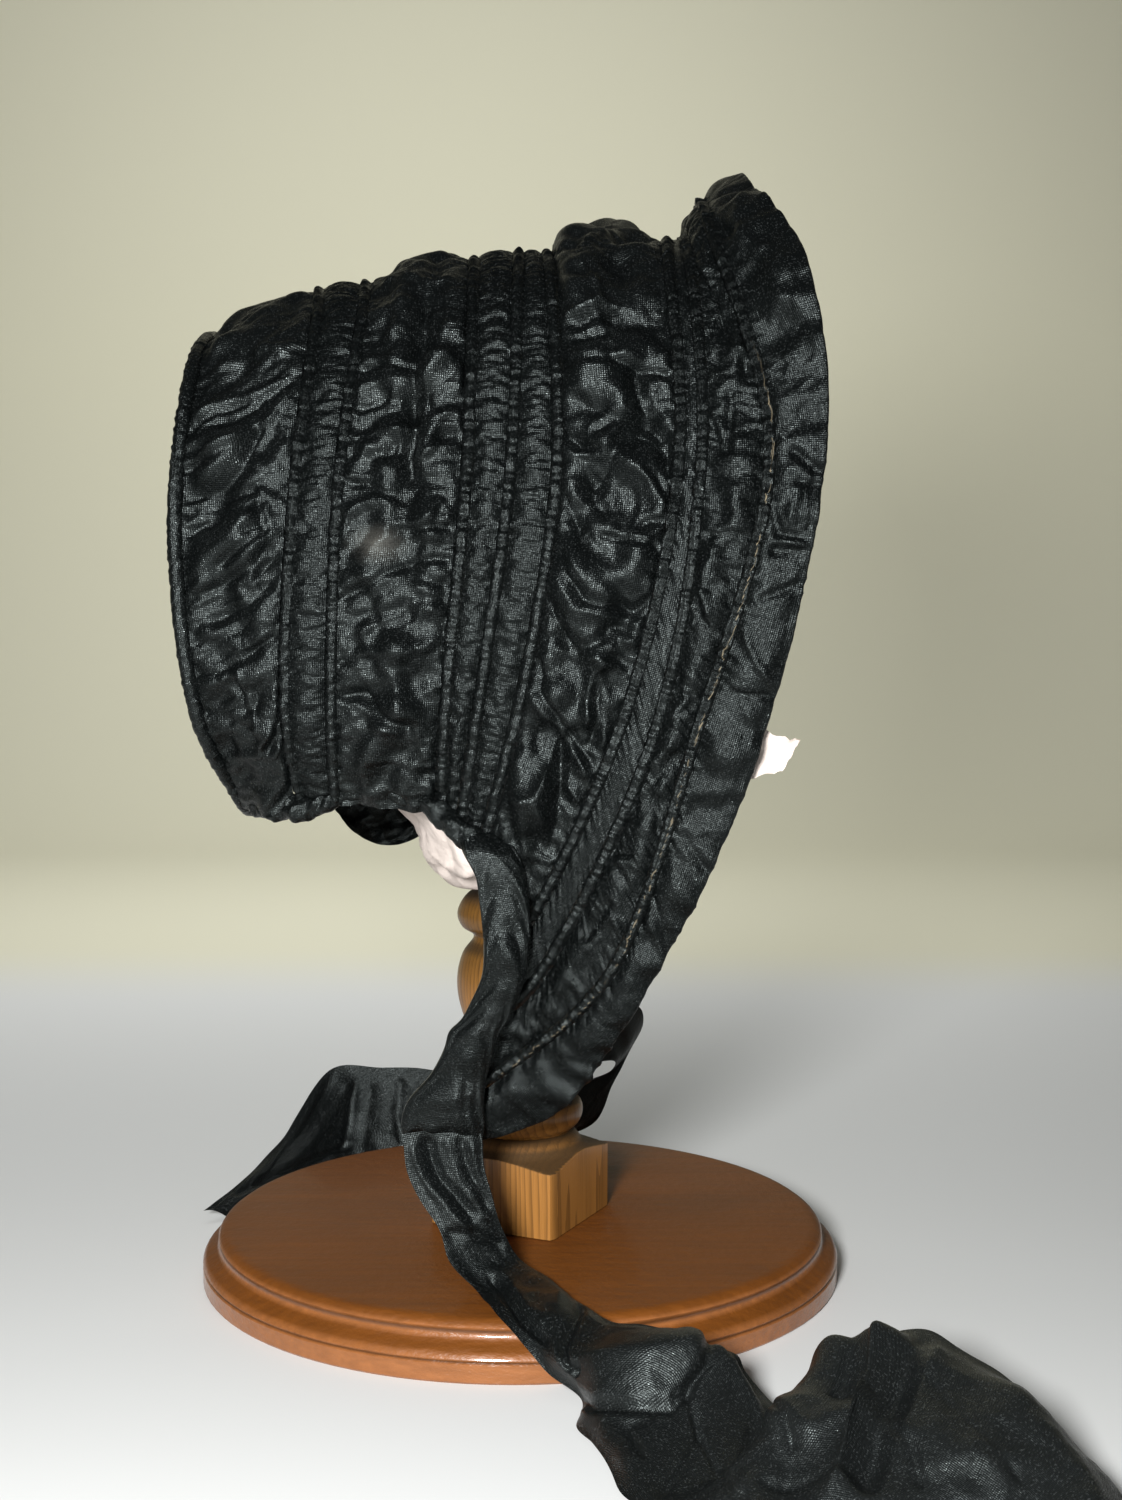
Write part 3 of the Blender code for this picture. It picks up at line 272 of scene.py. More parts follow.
# Folds of the near side's cloth, each a line seen square to that side. Columns: height, a groove
# when below nought, half width, both in millimetres, and the line's points, forward and up
COVER_FOLDS = {
    "crown_rear_puff": (
        (-3, 7, ((-86, 276), (-76, 281))),
        (1.2, 1.3, ((-90, 278), (-84, 282), (-77, 285), (-72, 286), (-66, 285), (-62, 286))),
        (1.1, 1.2, ((-91, 266), (-85, 269), (-76, 272), (-70, 274), (-64, 277))),
        (1, 1.1, ((-90, 262), (-84, 266), (-80, 267), (-74, 270))), (-1.2, 1.2, ((-90, 264), (-76, 270))),
        (-1.4, 2, ((-91, 262), (-86, 263), (-78, 265), (-73, 269))),
        (1, 1.2, ((-93, 257), (-88, 259), (-83, 260))),
        (1.4, 1.4, ((-93, 252), (-85, 255), (-79, 258), (-73, 261), (-68, 266), (-63, 272))),
        (-1.6, 1.6, ((-92, 251), (-84, 253), (-75, 258), (-72, 261))),
        (-2, 2.6, ((-72, 262), (-73, 258), (-75, 253), (-79, 248), (-83, 245), (-92, 242))),
        (1.2, 1.4, ((-68, 265), (-71, 259), (-73, 254))), (1.5, 5, ((-85, 249), (-78, 256))),
        (0.9, 1.2, ((-66, 262), (-63, 261), (-63, 257), (-66, 257), (-67, 259))),
        (-1.6, 1.8, ((-92, 238), (-84, 240), (-77, 243), (-71, 245))),
        (1.3, 1.3, ((-71, 245), (-69, 243), (-65, 241))), (1, 1.1, ((-71, 245), (-69, 240), (-68, 236))),
        (-1.8, 1.8, ((-92, 232), (-89, 235), (-80, 238), (-72, 240), (-70, 242))),
        (-1.6, 2, ((-71, 239), (-70, 235), (-73, 233))), (1.5, 5, ((-81, 229), (-74, 235))),
        (-1.2, 1.2, ((-82, 224), (-76, 228), (-69, 233))),
        (-1.6, 1.6, ((-90, 215), (-83, 218), (-77, 221), (-72, 224), (-69, 228))),
        (-1.8, 2.2, ((-75, 217), (-71, 221), (-69, 223), (-67, 225))),
        (1, 1.2, ((-74, 218), (-73, 222), (-69, 226))),
        (-1.5, 1.8, ((-85, 208), (-79, 211), (-75, 212), (-70, 217), (-66, 221))),
        (-1.2, 1.6, ((-90, 202), (-85, 202), (-79, 205), (-75, 207))),
        (-1.6, 1.6, ((-90, 193), (-84, 193), (-79, 196), (-74, 199), (-68, 203), (-63, 205))),
        (1.2, 1.2, ((-78, 195), (-77, 188), (-76, 186))), (1, 1.2, ((-83, 193), (-81, 188), (-78, 184))),
        (-1.2, 2, ((-80, 190), (-78, 186))), (1.3, 1.4, ((-77, 186), (-75, 181), (-74, 177))),
        (1.3, 1.4, ((-66, 189), (-67, 181), (-70, 176), (-73, 172))),
        (-1.5, 1.5, ((-65, 184), (-68, 176), (-71, 170))),
        (-1.2, 1.5, ((-89, 181), (-83, 180), (-78, 177), (-75, 174))),
        (1.2, 1.4, ((-84, 168), (-76, 169), (-69, 170), (-66, 174), (-64, 177))),
        (-1.6, 3, ((-85, 170), (-75, 171), (-72, 172))),
        (1.2, 1.3, ((-65, 183), (-64, 179), (-62, 176), (-61, 170), (-62, 165))),
        (1.6, 5, ((-79, 157), (-70, 160), (-64, 165))), (2.2, 8, ((-84, 155), (-73, 153))),
        (-1.8, 2, ((-61, 165), (-64, 161), (-69, 156), (-73, 152))),
    ),
    "crown_middle_puff": (
        (-1.4, 1.3, ((-49, 300), (-41, 302), (-34, 304), (-27, 305))),
        (1, 1.2, ((-47, 304), (-35, 306), (-25, 306), (-21, 307))),
        (-3.2, 3, ((-27, 301), (-26, 293), (-27, 286), (-30, 281))),
        (-2.6, 2.6, ((-28, 278), (-29, 270), (-29, 264))),
        (-2, 2.4, ((-28, 260), (-29, 252), (-29, 248))),
        (1.3, 1.2, ((-32, 280), (-28, 280), (-24, 281), (-20, 281), (-15, 279))),
        (1.6, 2.5, ((-24, 293), (-20, 292), (-16, 290))),
        (1.2, 1.2, ((-24, 295), (-18, 295), (-15, 294))), (-1.2, 2.5, ((-21, 299), (-17, 297))),
        (-1.6, 2.6, ((-21, 285), (-15, 285))),
        (1.6, 2.4, ((-25, 275), (-22, 279), (-18, 279), (-15, 276), (-15, 272))),
        (-1.4, 2.6, ((-19, 269), (-15, 269))),
        (1.6, 1.3, ((-29, 261), (-26, 262), (-22, 264), (-18, 265), (-15, 264))),
        (1.2, 1.6, ((-23, 258), (-21, 262), (-16, 262), (-14, 260))),
        (-1.4, 2.4, ((-21, 258), (-16, 259))),
        (1.2, 1.2, ((-27, 252), (-23, 255), (-19, 256), (-14, 256))),
        (1.3, 3, ((-43, 294), (-37, 295), (-32, 298))), (1.2, 3, ((-33, 290), (-34, 286), (-31, 283))),
        (-1.2, 3, ((-41, 290), (-38, 286))), (-1.2, 1.2, ((-44, 278), (-38, 279), (-32, 279))),
        (1.3, 2, ((-44, 271), (-41, 274), (-35, 275), (-31, 275))),
        (-1.2, 1.4, ((-43, 267), (-38, 269), (-36, 271))), (1, 1.4, ((-45, 265), (-39, 266), (-34, 271))),
        (-2.2, 4, ((-43, 262), (-38, 264), (-32, 267))),
        (1.5, 1.1, ((-45, 259), (-39, 260), (-32, 261), (-29, 261))),
        (1.2, 2, ((-42, 253), (-40, 256), (-36, 255), (-37, 251))), (-1.4, 2, ((-33, 257), (-35, 253))),
        (0.8, 1.6, ((-32, 270), (-31, 264), (-32, 255), (-32, 250))),
        (-1.3, 1.3, ((-47, 246), (-41, 246), (-36, 243), (-31, 241))),
        (1, 1.6, ((-47, 248), (-40, 248), (-34, 250))),
        (1.3, 1.3, ((-48, 232), (-46, 236), (-43, 240), (-40, 241))),
        (-1.1, 2, ((-46, 234), (-41, 238), (-37, 239))),
        (-1.4, 1.4, ((-33, 233), (-27, 233), (-23, 234), (-18, 234))),
        (-1.5, 1.4, ((-47, 215), (-42, 217), (-36, 221), (-32, 222), (-27, 224), (-20, 225), (-16, 225))),
        (-1, 1.2, ((-47, 223), (-42, 223), (-39, 222))),
        (1, 1.3, ((-23, 237), (-20, 241), (-18, 238), (-19, 235))), (-1, 2, ((-25, 229), (-19, 229))),
        (-1.4, 2, ((-28, 221), (-23, 219), (-18, 218))), (-1.2, 1.6, ((-26, 214), (-19, 214))),
        (-1.2, 1.8, ((-25, 208), (-21, 207), (-18, 208))), (1, 1.2, ((-23, 211), (-19, 210))),
        (-1.8, 2.4, ((-38, 206), (-32, 206), (-29, 208))),
        (0.9, 1.2, ((-43, 205), (-37, 208), (-32, 210))),
        (1.4, 2, ((-42, 203), (-38, 197), (-33, 192), (-33, 186), (-32, 182))),
        (1.2, 4, ((-36, 200), (-26, 201))), (-1.8, 3.5, ((-32, 192), (-26, 193), (-25, 196))),
        (-1.2, 1.2, ((-50, 197), (-39, 197))),
        (-2.2, 1.8, ((-48, 187), (-43, 187), (-39, 183), (-35, 180), (-30, 178))),
        (1, 1.2, ((-45, 185), (-38, 179), (-32, 177), (-28, 177))), (1, 4, ((-31, 185), (-28, 182))),
        (1, 1.4, ((-27, 176), (-27, 172), (-24, 168))),
        (-1, 1.6, ((-41, 167), (-33, 166), (-24, 164), (-17, 162))), (1.6, 2.4, ((-33, 160), (-29, 155))),
        (1.6, 2.4, ((-24, 161), (-22, 156))),
    ),
    "brim_puff": (
        (-4, 8, ((29, 305), (36, 290))), (1.2, 1.5, ((20, 317), (25, 320), (27, 317))),
        (1.5, 1.5, ((19, 308), (23, 302), (24, 297))),
        (1.6, 1.3, ((15, 292), (20, 294), (24, 296), (28, 295))),
        (-1.5, 2, ((17, 290), (24, 292), (27, 292))), (1.2, 1.4, ((14, 286), (18, 287), (23, 291))),
        (-1.5, 2, ((15, 285), (24, 286))), (1.8, 2.6, ((25, 283), (29, 287), (33, 287))),
        (1.4, 2.2, ((34, 284), (29, 280), (26, 278))), (-1, 0.9, ((29, 282), (33, 284))),
        (-1.6, 1.4, ((13, 278), (21, 278), (28, 278), (35, 276), (44, 274))),
        (2.5, 8, ((21, 271), (30, 267))), (-2.5, 2.5, ((33, 274), (34, 268), (37, 263))),
        (-2.2, 1.8, ((23, 259), (27, 262), (33, 262), (37, 261), (40, 258))),
        (-1.5, 1.8, ((18, 268), (21, 265), (24, 265))),
        (1.2, 1.5, ((13, 256), (17, 253), (24, 253), (26, 257), (28, 259))),
        (-1.4, 1.4, ((14, 258), (18, 255), (23, 254))), (0.9, 1.2, ((17, 251), (21, 250), (23, 247))),
        (-2.8, 3.2, ((28, 257), (27, 252), (25, 248), (21, 244))),
        (-3.5, 5, ((34, 258), (41, 254), (43, 249))), (1, 1.4, ((38, 251), (41, 247), (42, 241))),
        (-1.2, 1.2, ((36, 249), (38, 247), (42, 241))),
        (1.8, 3, ((29, 252), (33, 249), (37, 246), (40, 241))),
        (0.8, 2, ((33, 246), (34, 239), (33, 233))), (0.8, 2, ((26, 245), (27, 238), (27, 233))),
        (-1.2, 2, ((21, 240), (24, 238))), (-1.2, 1.1, ((24, 231), (29, 230), (37, 229), (41, 226))),
        (-1.5, 1.4, ((34, 233), (37, 235), (40, 235))), (1, 1.2, ((36, 230), (38, 232), (41, 233))),
        (-1.2, 1.6, ((13, 241), (17, 233), (18, 229))), (2.2, 12, ((24, 224), (32, 219))),
        (-2.5, 2, ((13, 226), (15, 221), (19, 214), (24, 213), (29, 212), (32, 210), (37, 213), (39, 214))),
        (1.8, 8, ((13, 212), (19, 208))), (-1.5, 2.5, ((19, 216), (22, 215))),
        (-2.2, 2.2, ((9, 214), (11, 210), (14, 203), (18, 200), (24, 203), (26, 206), (30, 206))),
        (1.2, 2, ((25, 201), (28, 204), (32, 203))), (-1.2, 1.5, ((25, 200), (29, 197), (32, 195))),
        (1, 1.5, ((17, 201), (21, 199), (25, 197), (29, 195))),
        (1.6, 1.6, ((24, 196), (21, 193), (20, 186), (20, 175))),
        (0.9, 1.4, ((24, 195), (24, 186), (25, 174))), (-1.8, 1.8, ((23, 189), (23, 181), (21, 174))),
        (-2, 3.5, ((17, 189), (18, 181), (20, 174))),
        (-1.8, 1.4, ((6, 197), (7, 189), (11, 183), (14, 178), (17, 174), (21, 169))),
        (1, 1.4, ((4, 189), (8, 182), (13, 178))),
        (1.4, 1.4, ((13, 176), (11, 174), (10, 168), (8, 164), (6, 160), (0, 158))),
        (-2.2, 3.2, ((13, 173), (13, 164), (12, 152), (10, 145))), (-2, 3.5, ((3, 176), (10, 176))),
        (1.2, 1.3, ((16, 174), (15, 168), (15, 162), (18, 158))),
        (0.9, 1.1, ((17, 172), (19, 167), (21, 161))), (-1, 1.5, ((13, 161), (15, 157), (18, 154))),
        (1, 1.2, ((6, 158), (8, 151), (9, 145))),
    ),
    "brim_outer_band": (
        (2, 1.5, ((61, 289), (60, 285), (60, 281), (64, 279), (66, 281))),
        (1.2, 3, ((63, 285), (66, 286))), (-3.2, 4, ((53, 299), (55, 293), (57, 285))),
        (1, 1.2, ((57, 309), (59, 302), (59, 296), (61, 293))), (-2, 2.2, ((63, 277), (64, 274))),
        (1.4, 3, ((60, 256), (59, 248))), (1.2, 3, ((59, 243), (59, 235))),
        (-1.4, 1.4, ((58, 269), (58, 262), (57, 254))), (-1.2, 1.2, ((52, 262), (54, 259), (55, 255))),
        (1.2, 2, ((54, 227), (52, 222), (51, 216))), (-1, 1.2, ((49, 216), (50, 211), (52, 207))),
        (0.9, 1.1, ((51, 216), (52, 210))), (1.2, 1.6, ((44, 182), (40, 177), (39, 174))),
        (-1, 1.2, ((48, 185), (43, 181), (39, 177))), (1.4, 1.8, ((43, 174), (37, 167), (35, 161))),
        (-1.6, 2, ((43, 171), (39, 165), (35, 159), (33, 154))),
        (1.2, 1.6, ((37, 162), (33, 154), (29, 149))), (-1, 1.2, ((39, 159), (40, 150))),
        (-1.2, 0.9, ((32, 144), (27, 143), (22, 142))),
        (1.3, 2, ((21, 130), (24, 135), (28, 139), (29, 142))),
        (-1.4, 1.6, ((26, 129), (23, 124), (20, 119))), (-1, 1.4, ((29, 139), (32, 133), (35, 129))),
    ),
    "brim_edge_band": (
        (1.4, 2, ((64, 326), (61, 318), (64, 311), (69, 308), (71, 301), (72, 294))),
        (1, 1.3, ((71, 312), (73, 305), (75, 298))), (-3, 3, ((56, 318), (59, 316))),
        (0.8, 2, ((67, 321), (68, 315))), (1.2, 2.5, ((76, 294), (77, 290), (81, 284))),
        (-1.6, 1.4, ((75, 253), (78, 250), (81, 248))), (-0.8, 1, ((76, 245), (81, 244))),
        (0.8, 1, ((76, 243), (74, 238), (74, 234))),
        (-1.2, 1.3, ((68, 238), (70, 234), (71, 231), (77, 230), (80, 228))),
        (-1.4, 1.6, ((70, 227), (74, 227), (78, 227))), (1, 1.3, ((70, 229), (75, 229), (79, 228))),
        (-1.4, 1.3, ((67, 214), (71, 216), (74, 217), (78, 218))),
        (-0.5, 0.7, ((77, 220), (76, 216), (74, 208), (73, 200), (71, 192), (69, 185), (66, 176), (62, 166),
                     (56, 155))),
        (1, 1.1, ((62, 207), (63, 202), (66, 196), (68, 193))),
        (-1.2, 0.9, ((59, 189), (63, 188), (68, 188))), (0.8, 2, ((68, 195), (69, 198))),
        (0.8, 2, ((63, 185), (64, 180), (65, 174))), (-1, 1.6, ((47, 148), (50, 144), (53, 139))),
        (1, 1.5, ((36, 131), (38, 122), (41, 116))), (-1, 1.5, ((39, 129), (42, 121))),
        (0.8, 2.5, ((73, 278), (73, 267), (74, 256))), (-0.5, 0.7, ((80, 261), (80, 245), (79, 230))),
    ),
}
# Folds pressed into the ties, each a line over the tie's slope. Columns: height, a groove when
# below nought, half width, both in millimetres, and the line's points, forward and down the slope
NEAR_TIE_FOLDS = (
    (8, 8, ((19, -35), (26, -36), (36, -36), (46, -34))),
    (-3, 1.5, ((17, -43), (23, -46), (29, -46), (41, -46), (45, -43), (49, -37), (52, -31))),
    (-1.2, 1, ((45, -43), (47, -53), (42, -60), (36, -66))),
    (-0.8, 0.8, ((47, -53), (50, -59), (53, -66))), (4, 4, ((55, -37), (63, -45), (70, -52))),
    (-2, 1.4, ((54, -32), (61, -40), (66, -48), (67, -53))), (-1, 1.2, ((36, -48), (30, -51), (33, -57))),
    (3, 4, ((23, -53), (28, -60), (32, -66))), (-4, 7, ((68, -54), (65, -61))),
    (8, 8, ((99, -31), (93, -40), (88, -49), (82, -56), (77, -64))),
    (-6, 3, ((104, -31), (99, -38), (94, -46), (88, -55), (83, -63))),
    (5, 6, ((83, -34), (91, -34), (99, -32))),
    (3.5, 5, ((75, -51), (82, -51), (87, -50))),
    (-1.8, 2.2, ((88, -31), (83, -39), (80, -45))), (-1, 0.8, ((77, -45), (85, -46), (91, -46))),
    (-1.2, 1.2, ((59, -61), (68, -62), (79, -63))), (1.5, 7, ((101, -46), (101, -53), (103, -58))),
    (-1.6, 1.4, ((93, -53), (95, -56), (95, -62))), (1.2, 4, ((109, -58), (113, -61), (113, -65))),
    (-0.6, 1.2, ((106, -62), (109, -57), (116, -62), (114, -66))),
    (-0.5, 0.6, ((102, -40), (107, -48), (114, -59), (117, -64))),
    (6, 9, ((120, -48), (127, -57), (132, -66))),
    (1.8, 2.2, ((-30, 25), (-26, 16), (-19, 8), (-15, 4))), (-1.6, 1.8, ((-26, 28), (-22, 17), (-14, 8))),
    (1.2, 2, ((-20, 28), (-16, 16), (-10, 8))), (-1, 1.5, ((-16, 28), (-13, 19), (-9, 11))),
    (1, 1.8, ((-12, 26), (-10, 16))), (-1.8, 1.3, ((-7, -10), (0, -18), (4, -24), (9, -29))),
    (1.5, 2.4, ((-5, -8), (3, -17), (8, -24))),
    (-2.2, 1.4, ((19, -19), (16, -27), (15, -32), (17, -36), (21, -38))),
    (1.6, 3, ((13, -17), (12, -27), (13, -34))), (-1.5, 1.6, ((-22, 2), (-13, 3), (-5, 0))),
)
FAR_TIE_FOLDS = (
    (-1.8, 1.6, ((-65, 71), (-66, 60), (-67, 49))), (1.6, 3, ((-59, 71), (-61, 60), (-62, 48))),
    (-1.4, 2, ((-74, 78), (-77, 66), (-84, 52), (-94, 33))),
    (1.8, 3.5, ((-69, 72), (-76, 56), (-86, 40))),
    (-2, 1.6, ((-67, 49), (-80, 42), (-94, 33), (-101, 28))),
    (-1.2, 1.5, ((-48, 73), (-50, 62), (-48, 52))), (1.2, 2.5, ((-43, 71), (-44, 60))),
)
# Shares of height and of sideways place that make up a point's place down the ties' slope
SLOPE = (0.92, 0.39)
# Columns: radius from the post, and height of what a tie lies on there
UNDER_TIES = ((0.0919, 0.0171), (0.0960, 0.0160), (0.1012, 0.0085), (0.1018, 0.0070), (0.1022, 0.0006))
# Columns: piece, its edges, its folds, rows, columns, seed
TIES = (("near_tie", NEAR_TIE, NEAR_TIE_FOLDS, 400, 112, 960),
        ("far_tie", FAR_TIE, FAR_TIE_FOLDS, 340, 50, 970))

# Camera: place, how far it looks down, and its focal length for a picture of this width, in pixels
CAMERA_PLACE = (0.0129, -0.6191, 0.2085)
CAMERA_DIP = 0.0671
FOCAL_LENGTH = 1946.25
PICTURE_WIDTH = 1122
SENSOR_WIDTH = 36.0
# Pale sweep: half size of its floor, how far it is moved towards the camera, height of its wall,
# and radius of the bend between them
SWEEP_SIZE = 6.0
SWEEP_SHIFT = -4.4
SWEEP_HEIGHT = 3.0
SWEEP_BEND = 0.5
# Lamps: name, place, point aimed at, width
KEY_LAMP = ("key", (-0.10, -0.70, 0.29), (0.0, 0.0, 0.19), 0.12)
WALL_LAMP = ("wall", (-0.10, 0.55, 0.84), (-0.24, 1.60, -0.02), 0.60)


# Lines and grids

def smooth_line(stations, count, closed=False):
    """Catmull-Rom curve through the stations, resampled at equal lengths."""
    known = np.array(stations, float)
    if closed:
        known = np.vstack([known[-1:], known, known[:2]])
    else:
        known = np.vstack([2 * known[0] - known[1], known, 2 * known[-1] - known[-2]])
    times = np.concatenate([[0.0], np.cumsum(np.sqrt(np.linalg.norm(np.diff(known, axis=0), axis=1)))])
    pieces = []
    for i in range(1, len(known) - 2):
        t0, t1, t2, t3 = times[i - 1:i + 3]
        p0, p1, p2, p3 = known[i - 1:i + 3]
        t = np.linspace(t1, t2, 48, endpoint=False)[:, None]
        a1 = ((t1 - t) * p0 + (t - t0) * p1) / (t1 - t0)
        a2 = ((t2 - t) * p1 + (t - t1) * p2) / (t2 - t1)
        a3 = ((t3 - t) * p2 + (t - t2) * p3) / (t3 - t2)
        b1 = ((t2 - t) * a1 + (t - t0) * a2) / (t2 - t0)
        b2 = ((t3 - t) * a2 + (t - t1) * a3) / (t3 - t1)
        pieces.append(((t2 - t) * b1 + (t - t1) * b2) / (t2 - t1))
    pieces.append(known[-2:-1])
    fine = np.vstack(pieces)
    lengths = np.concatenate([[0.0], np.cumsum(np.linalg.norm(np.diff(fine, axis=0), axis=1))])
    wanted = np.linspace(0.0, lengths[-1], count + 1 if closed else count)
    line = np.stack([np.interp(wanted, lengths, fine[:, axis]) for axis in range(fine.shape[1])], axis=1)
    return line[:-1] if closed else line


def hoop_line(name, count):
    stations = HOOPS[name]
    if name in TUCKED_ENDS:
        stations = stations + (TUCKED_ENDS[name],)
    near = [(x, -half, z) for x, half, z in reversed(stations)]
    far = [(x, half, z) for x, half, z in stations[1:]]
    return smooth_line(near + far, count)


def unit(vectors):
    return vectors / (np.linalg.norm(vectors, axis=-1, keepdims=True) + 1e-12)


def grid_normals(grid):
    return unit(np.cross(np.gradient(grid, axis=0), np.gradient(grid, axis=1)))


def lengths_along(grid, axis):
    return np.linalg.norm(np.diff(grid, axis=axis), axis=2)


def running(grid, axis):
    """Distance run along rows or columns of a grid, from its start."""
    steps = lengths_along(grid, axis)
    pad = [(0, 0), (0, 0)]
    pad[axis] = (1, 0)
    return np.pad(np.cumsum(steps, axis=axis), pad)


def ramp(values, low, high):
    share = np.clip((values - low) / (high - low), 0.0, 1.0)
    return share * share * (3.0 - 2.0 * share)


def noise(seed, x, y):
    """Smooth random field, about unit height, with one lattice cell to each unit of x and y."""
    lattice = np.random.default_rng(seed).standard_normal((128, 128)).astype(np.float32)
    i = np.floor(x).astype(int)
    j = np.floor(y).astype(int)
    a = x - i
    b = y - j
    a = a * a * (3 - 2 * a)
    b = b * b * (3 - 2 * b)
    low = lattice[i % 128, j % 128] * (1 - a) + lattice[(i + 1) % 128, j % 128] * a
    high = lattice[i % 128, (j + 1) % 128] * (1 - a) + lattice[(i + 1) % 128, (j + 1) % 128] * a
    return low * (1 - b) + high * b


# Cloth relaxed on a grid of threads

def pull(points, free, first, second, rest, strength):
    """Moves both ends of each thread span towards its rest length."""
    a = points[first]
    b = points[second]
    gap = b - a
    length = np.sqrt(np.einsum("ijk,ijk->ij", gap, gap)) + 1e-9
    weight_a = free[first]
    weight_b = free[second]
    share = strength * (length - rest) / (length * (weight_a + weight_b + 1e-9))
    a += gap * (share * weight_a)[..., None]
    b -= gap * (share * weight_b)[..., None]


def relax(points, free, rest, rounds, base, normals, low, high, bend, shear):
    """Position-based cloth: threads both ways, skew, bending, and limits either side of a base."""
    rows, columns, _ = points.shape
    cut = np.s_
    rest_u, rest_v, rest_fall, rest_rise = rest
    for step in range(rounds):
        for start in (0, 1):
            n = (columns - start) // 2
            pull(points, free, cut[:, start:start + 2 * n:2], cut[:, start + 1:start + 2 * n:2],
                 rest_u[:, start::2][:, :n], 1.0)
        for start in (0, 1):
            n = (rows - start) // 2
            pull(points, free, cut[start:start + 2 * n:2], cut[start + 1:start + 2 * n:2],
                 rest_v[start::2][:n], 1.0)
        for start in (0, 1):
            n = (rows - start) // 2
            even = slice(start, start + 2 * n, 2)
            odd = slice(start + 1, start + 2 * n, 2)
            left = slice(0, -1)
            right = slice(1, None)
            pull(points, free, (even, left), (odd, right), rest_fall[start::2][:n], shear)
            pull(points, free, (even, right), (odd, left), rest_rise[start::2][:n], shear)
        middle = 0.5 * (points[:, 2:] + points[:, :-2]) - points[:, 1:-1]
        points[:, 1:-1] += (bend * free[:, 1:-1])[..., None] * middle
        middle = 0.5 * (points[2:] + points[:-2]) - points[1:-1]
        points[1:-1] += (bend * free[1:-1])[..., None] * middle
        if step % 4 == 3:
            height = np.einsum("ijk,ijk->ij", points - base, normals)
            back = np.clip(height, low, high) - height
            points += (0.5 * back * free)[..., None] * normals


def settle(points, free, base, normals, full_u, full_v, rounds, low, high, bend, shear):
    """Lets the cloth out to its cut size in steps and relaxes it."""
    points = points.astype(np.float32)
    base = base.astype(np.float32)
    normals = normals.astype(np.float32)
    full_skew = 0.5 * (full_u + full_v)
    laid = ((lengths_along(base, 1), full_u), (lengths_along(base, 0), full_v),
            (np.linalg.norm(base[1:, 1:] - base[:-1, :-1], axis=2), full_skew),
            (np.linalg.norm(base[1:, :-1] - base[:-1, 1:], axis=2), full_skew))
    steps = 6
    for step in range(steps + 1):
        share = min(1.0, (step + 1) / steps)
        rest = [length * (1 + (full - 1) * share) for length, full in laid]
        relax(points, free, rest, rounds // (2 * steps) if step < steps else rounds // 2, base, normals,
              low, high, bend, shear)
    return points.astype(float)


# The cover's shape

def reach_share(line, spans, reach):
    """Share of each span that lies this far from a casing, measured square to it."""
    square = np.linalg.norm(np.cross(unit(np.gradient(line, axis=0)), spans), axis=1)
    return (reach / square)[:, None]


def pleats(seed, along, size=0.00125):
    """Random rise and fall along a line, at the usual size the tiny gathers on a stitched line."""
    return noise(seed, along / size, along * 0.0)


def panel_base(panel):
    """Smooth puffed surface between two casings, from stitch line to stitch line."""
    rear_name, front_name, rows, top_rise, side_rise, lean = panel[1:7]
    span = 0.5 * (hoop_length(rear_name) + hoop_length(front_name))
    columns = 2 * int(span / COLUMN / 2) + 1
    rear = hoop_line(rear_name, columns)
    front = hoop_line(front_name, columns)
    start = reach_share(rear, front - rear, PIPING_REACH if rear_name == "tip" else STITCH_REACH)
    end = 1.0
    if front_name != "edge":
        end = 1.0 - reach_share(front, front - rear, STITCH_REACH)
    shares = np.linspace(0.0, 1.0, rows + 1)
    flat = np.stack([rear + (front - rear) * (start + (end - start) * v) for v in shares])
    normals = grid_normals(flat)
    side = np.abs(np.linspace(-1.0, 1.0, columns))
    rise = top_rise + (side_rise - top_rise) * np.clip(side / SIDE_START, 0.0, 1.0)
    fade = END_RISE + (1.0 - END_RISE) * np.clip((1.0 - side) / END_FADE, 0.0, 1.0)
    swell = np.sin(np.pi * shares ** lean)[:, None]
    return flat + normals * (swell * rise * fade)[..., None]


def hoop_length(name):
    line = hoop_line(name, 200)
    return float(np.linalg.norm(np.diff(line, axis=0), axis=1).sum())


def zigzag(phase):
    return np.abs(2.0 * (phase - np.floor(phase)) - 1.0)


def crushed(seed, x, y, sizes):
    """Flat facets between sharp creases: triangle waves laid over each other at random."""
    random = np.random.default_rng(seed)
    height = 0.0
    for size in sizes:
        for _ in range(4):
            angle, other, phase, start = random.random(4) * math.tau
            wave = (x * math.cos(angle) + y * math.sin(angle)) / size
            wave = wave + 0.25 * np.sin((x * math.cos(other) + y * math.sin(other)) / size * 1.3 + phase)
            wave = wave + 0.35 * noise(int(phase * 1e5), x / (1.5 * size), y / (1.5 * size)) + start
            height = height + size * zigzag(wave)
    return height / (4 * sum(sizes)) - 0.5


def square_measure(grid):
    """Distances along the casings and square to them, however the grid's columns slant."""
    ways = unit(np.gradient(grid, axis=1))
    steps = np.diff(grid, axis=0)
    ways = 0.5 * (ways[1:] + ways[:-1])
    slip = np.einsum("ijk,ijk->ij", steps, ways)
    square = np.sqrt(np.maximum((steps ** 2).sum(axis=2) - slip ** 2, 0.0))
    along = running(grid[:1], 1)
    along = along - along[:, along.shape[1] // 2][:, None]
    along = np.concatenate([along, along + np.cumsum(slip, axis=0)])
    return along, np.pad(np.cumsum(square, axis=0), ((1, 0), (0, 0)))


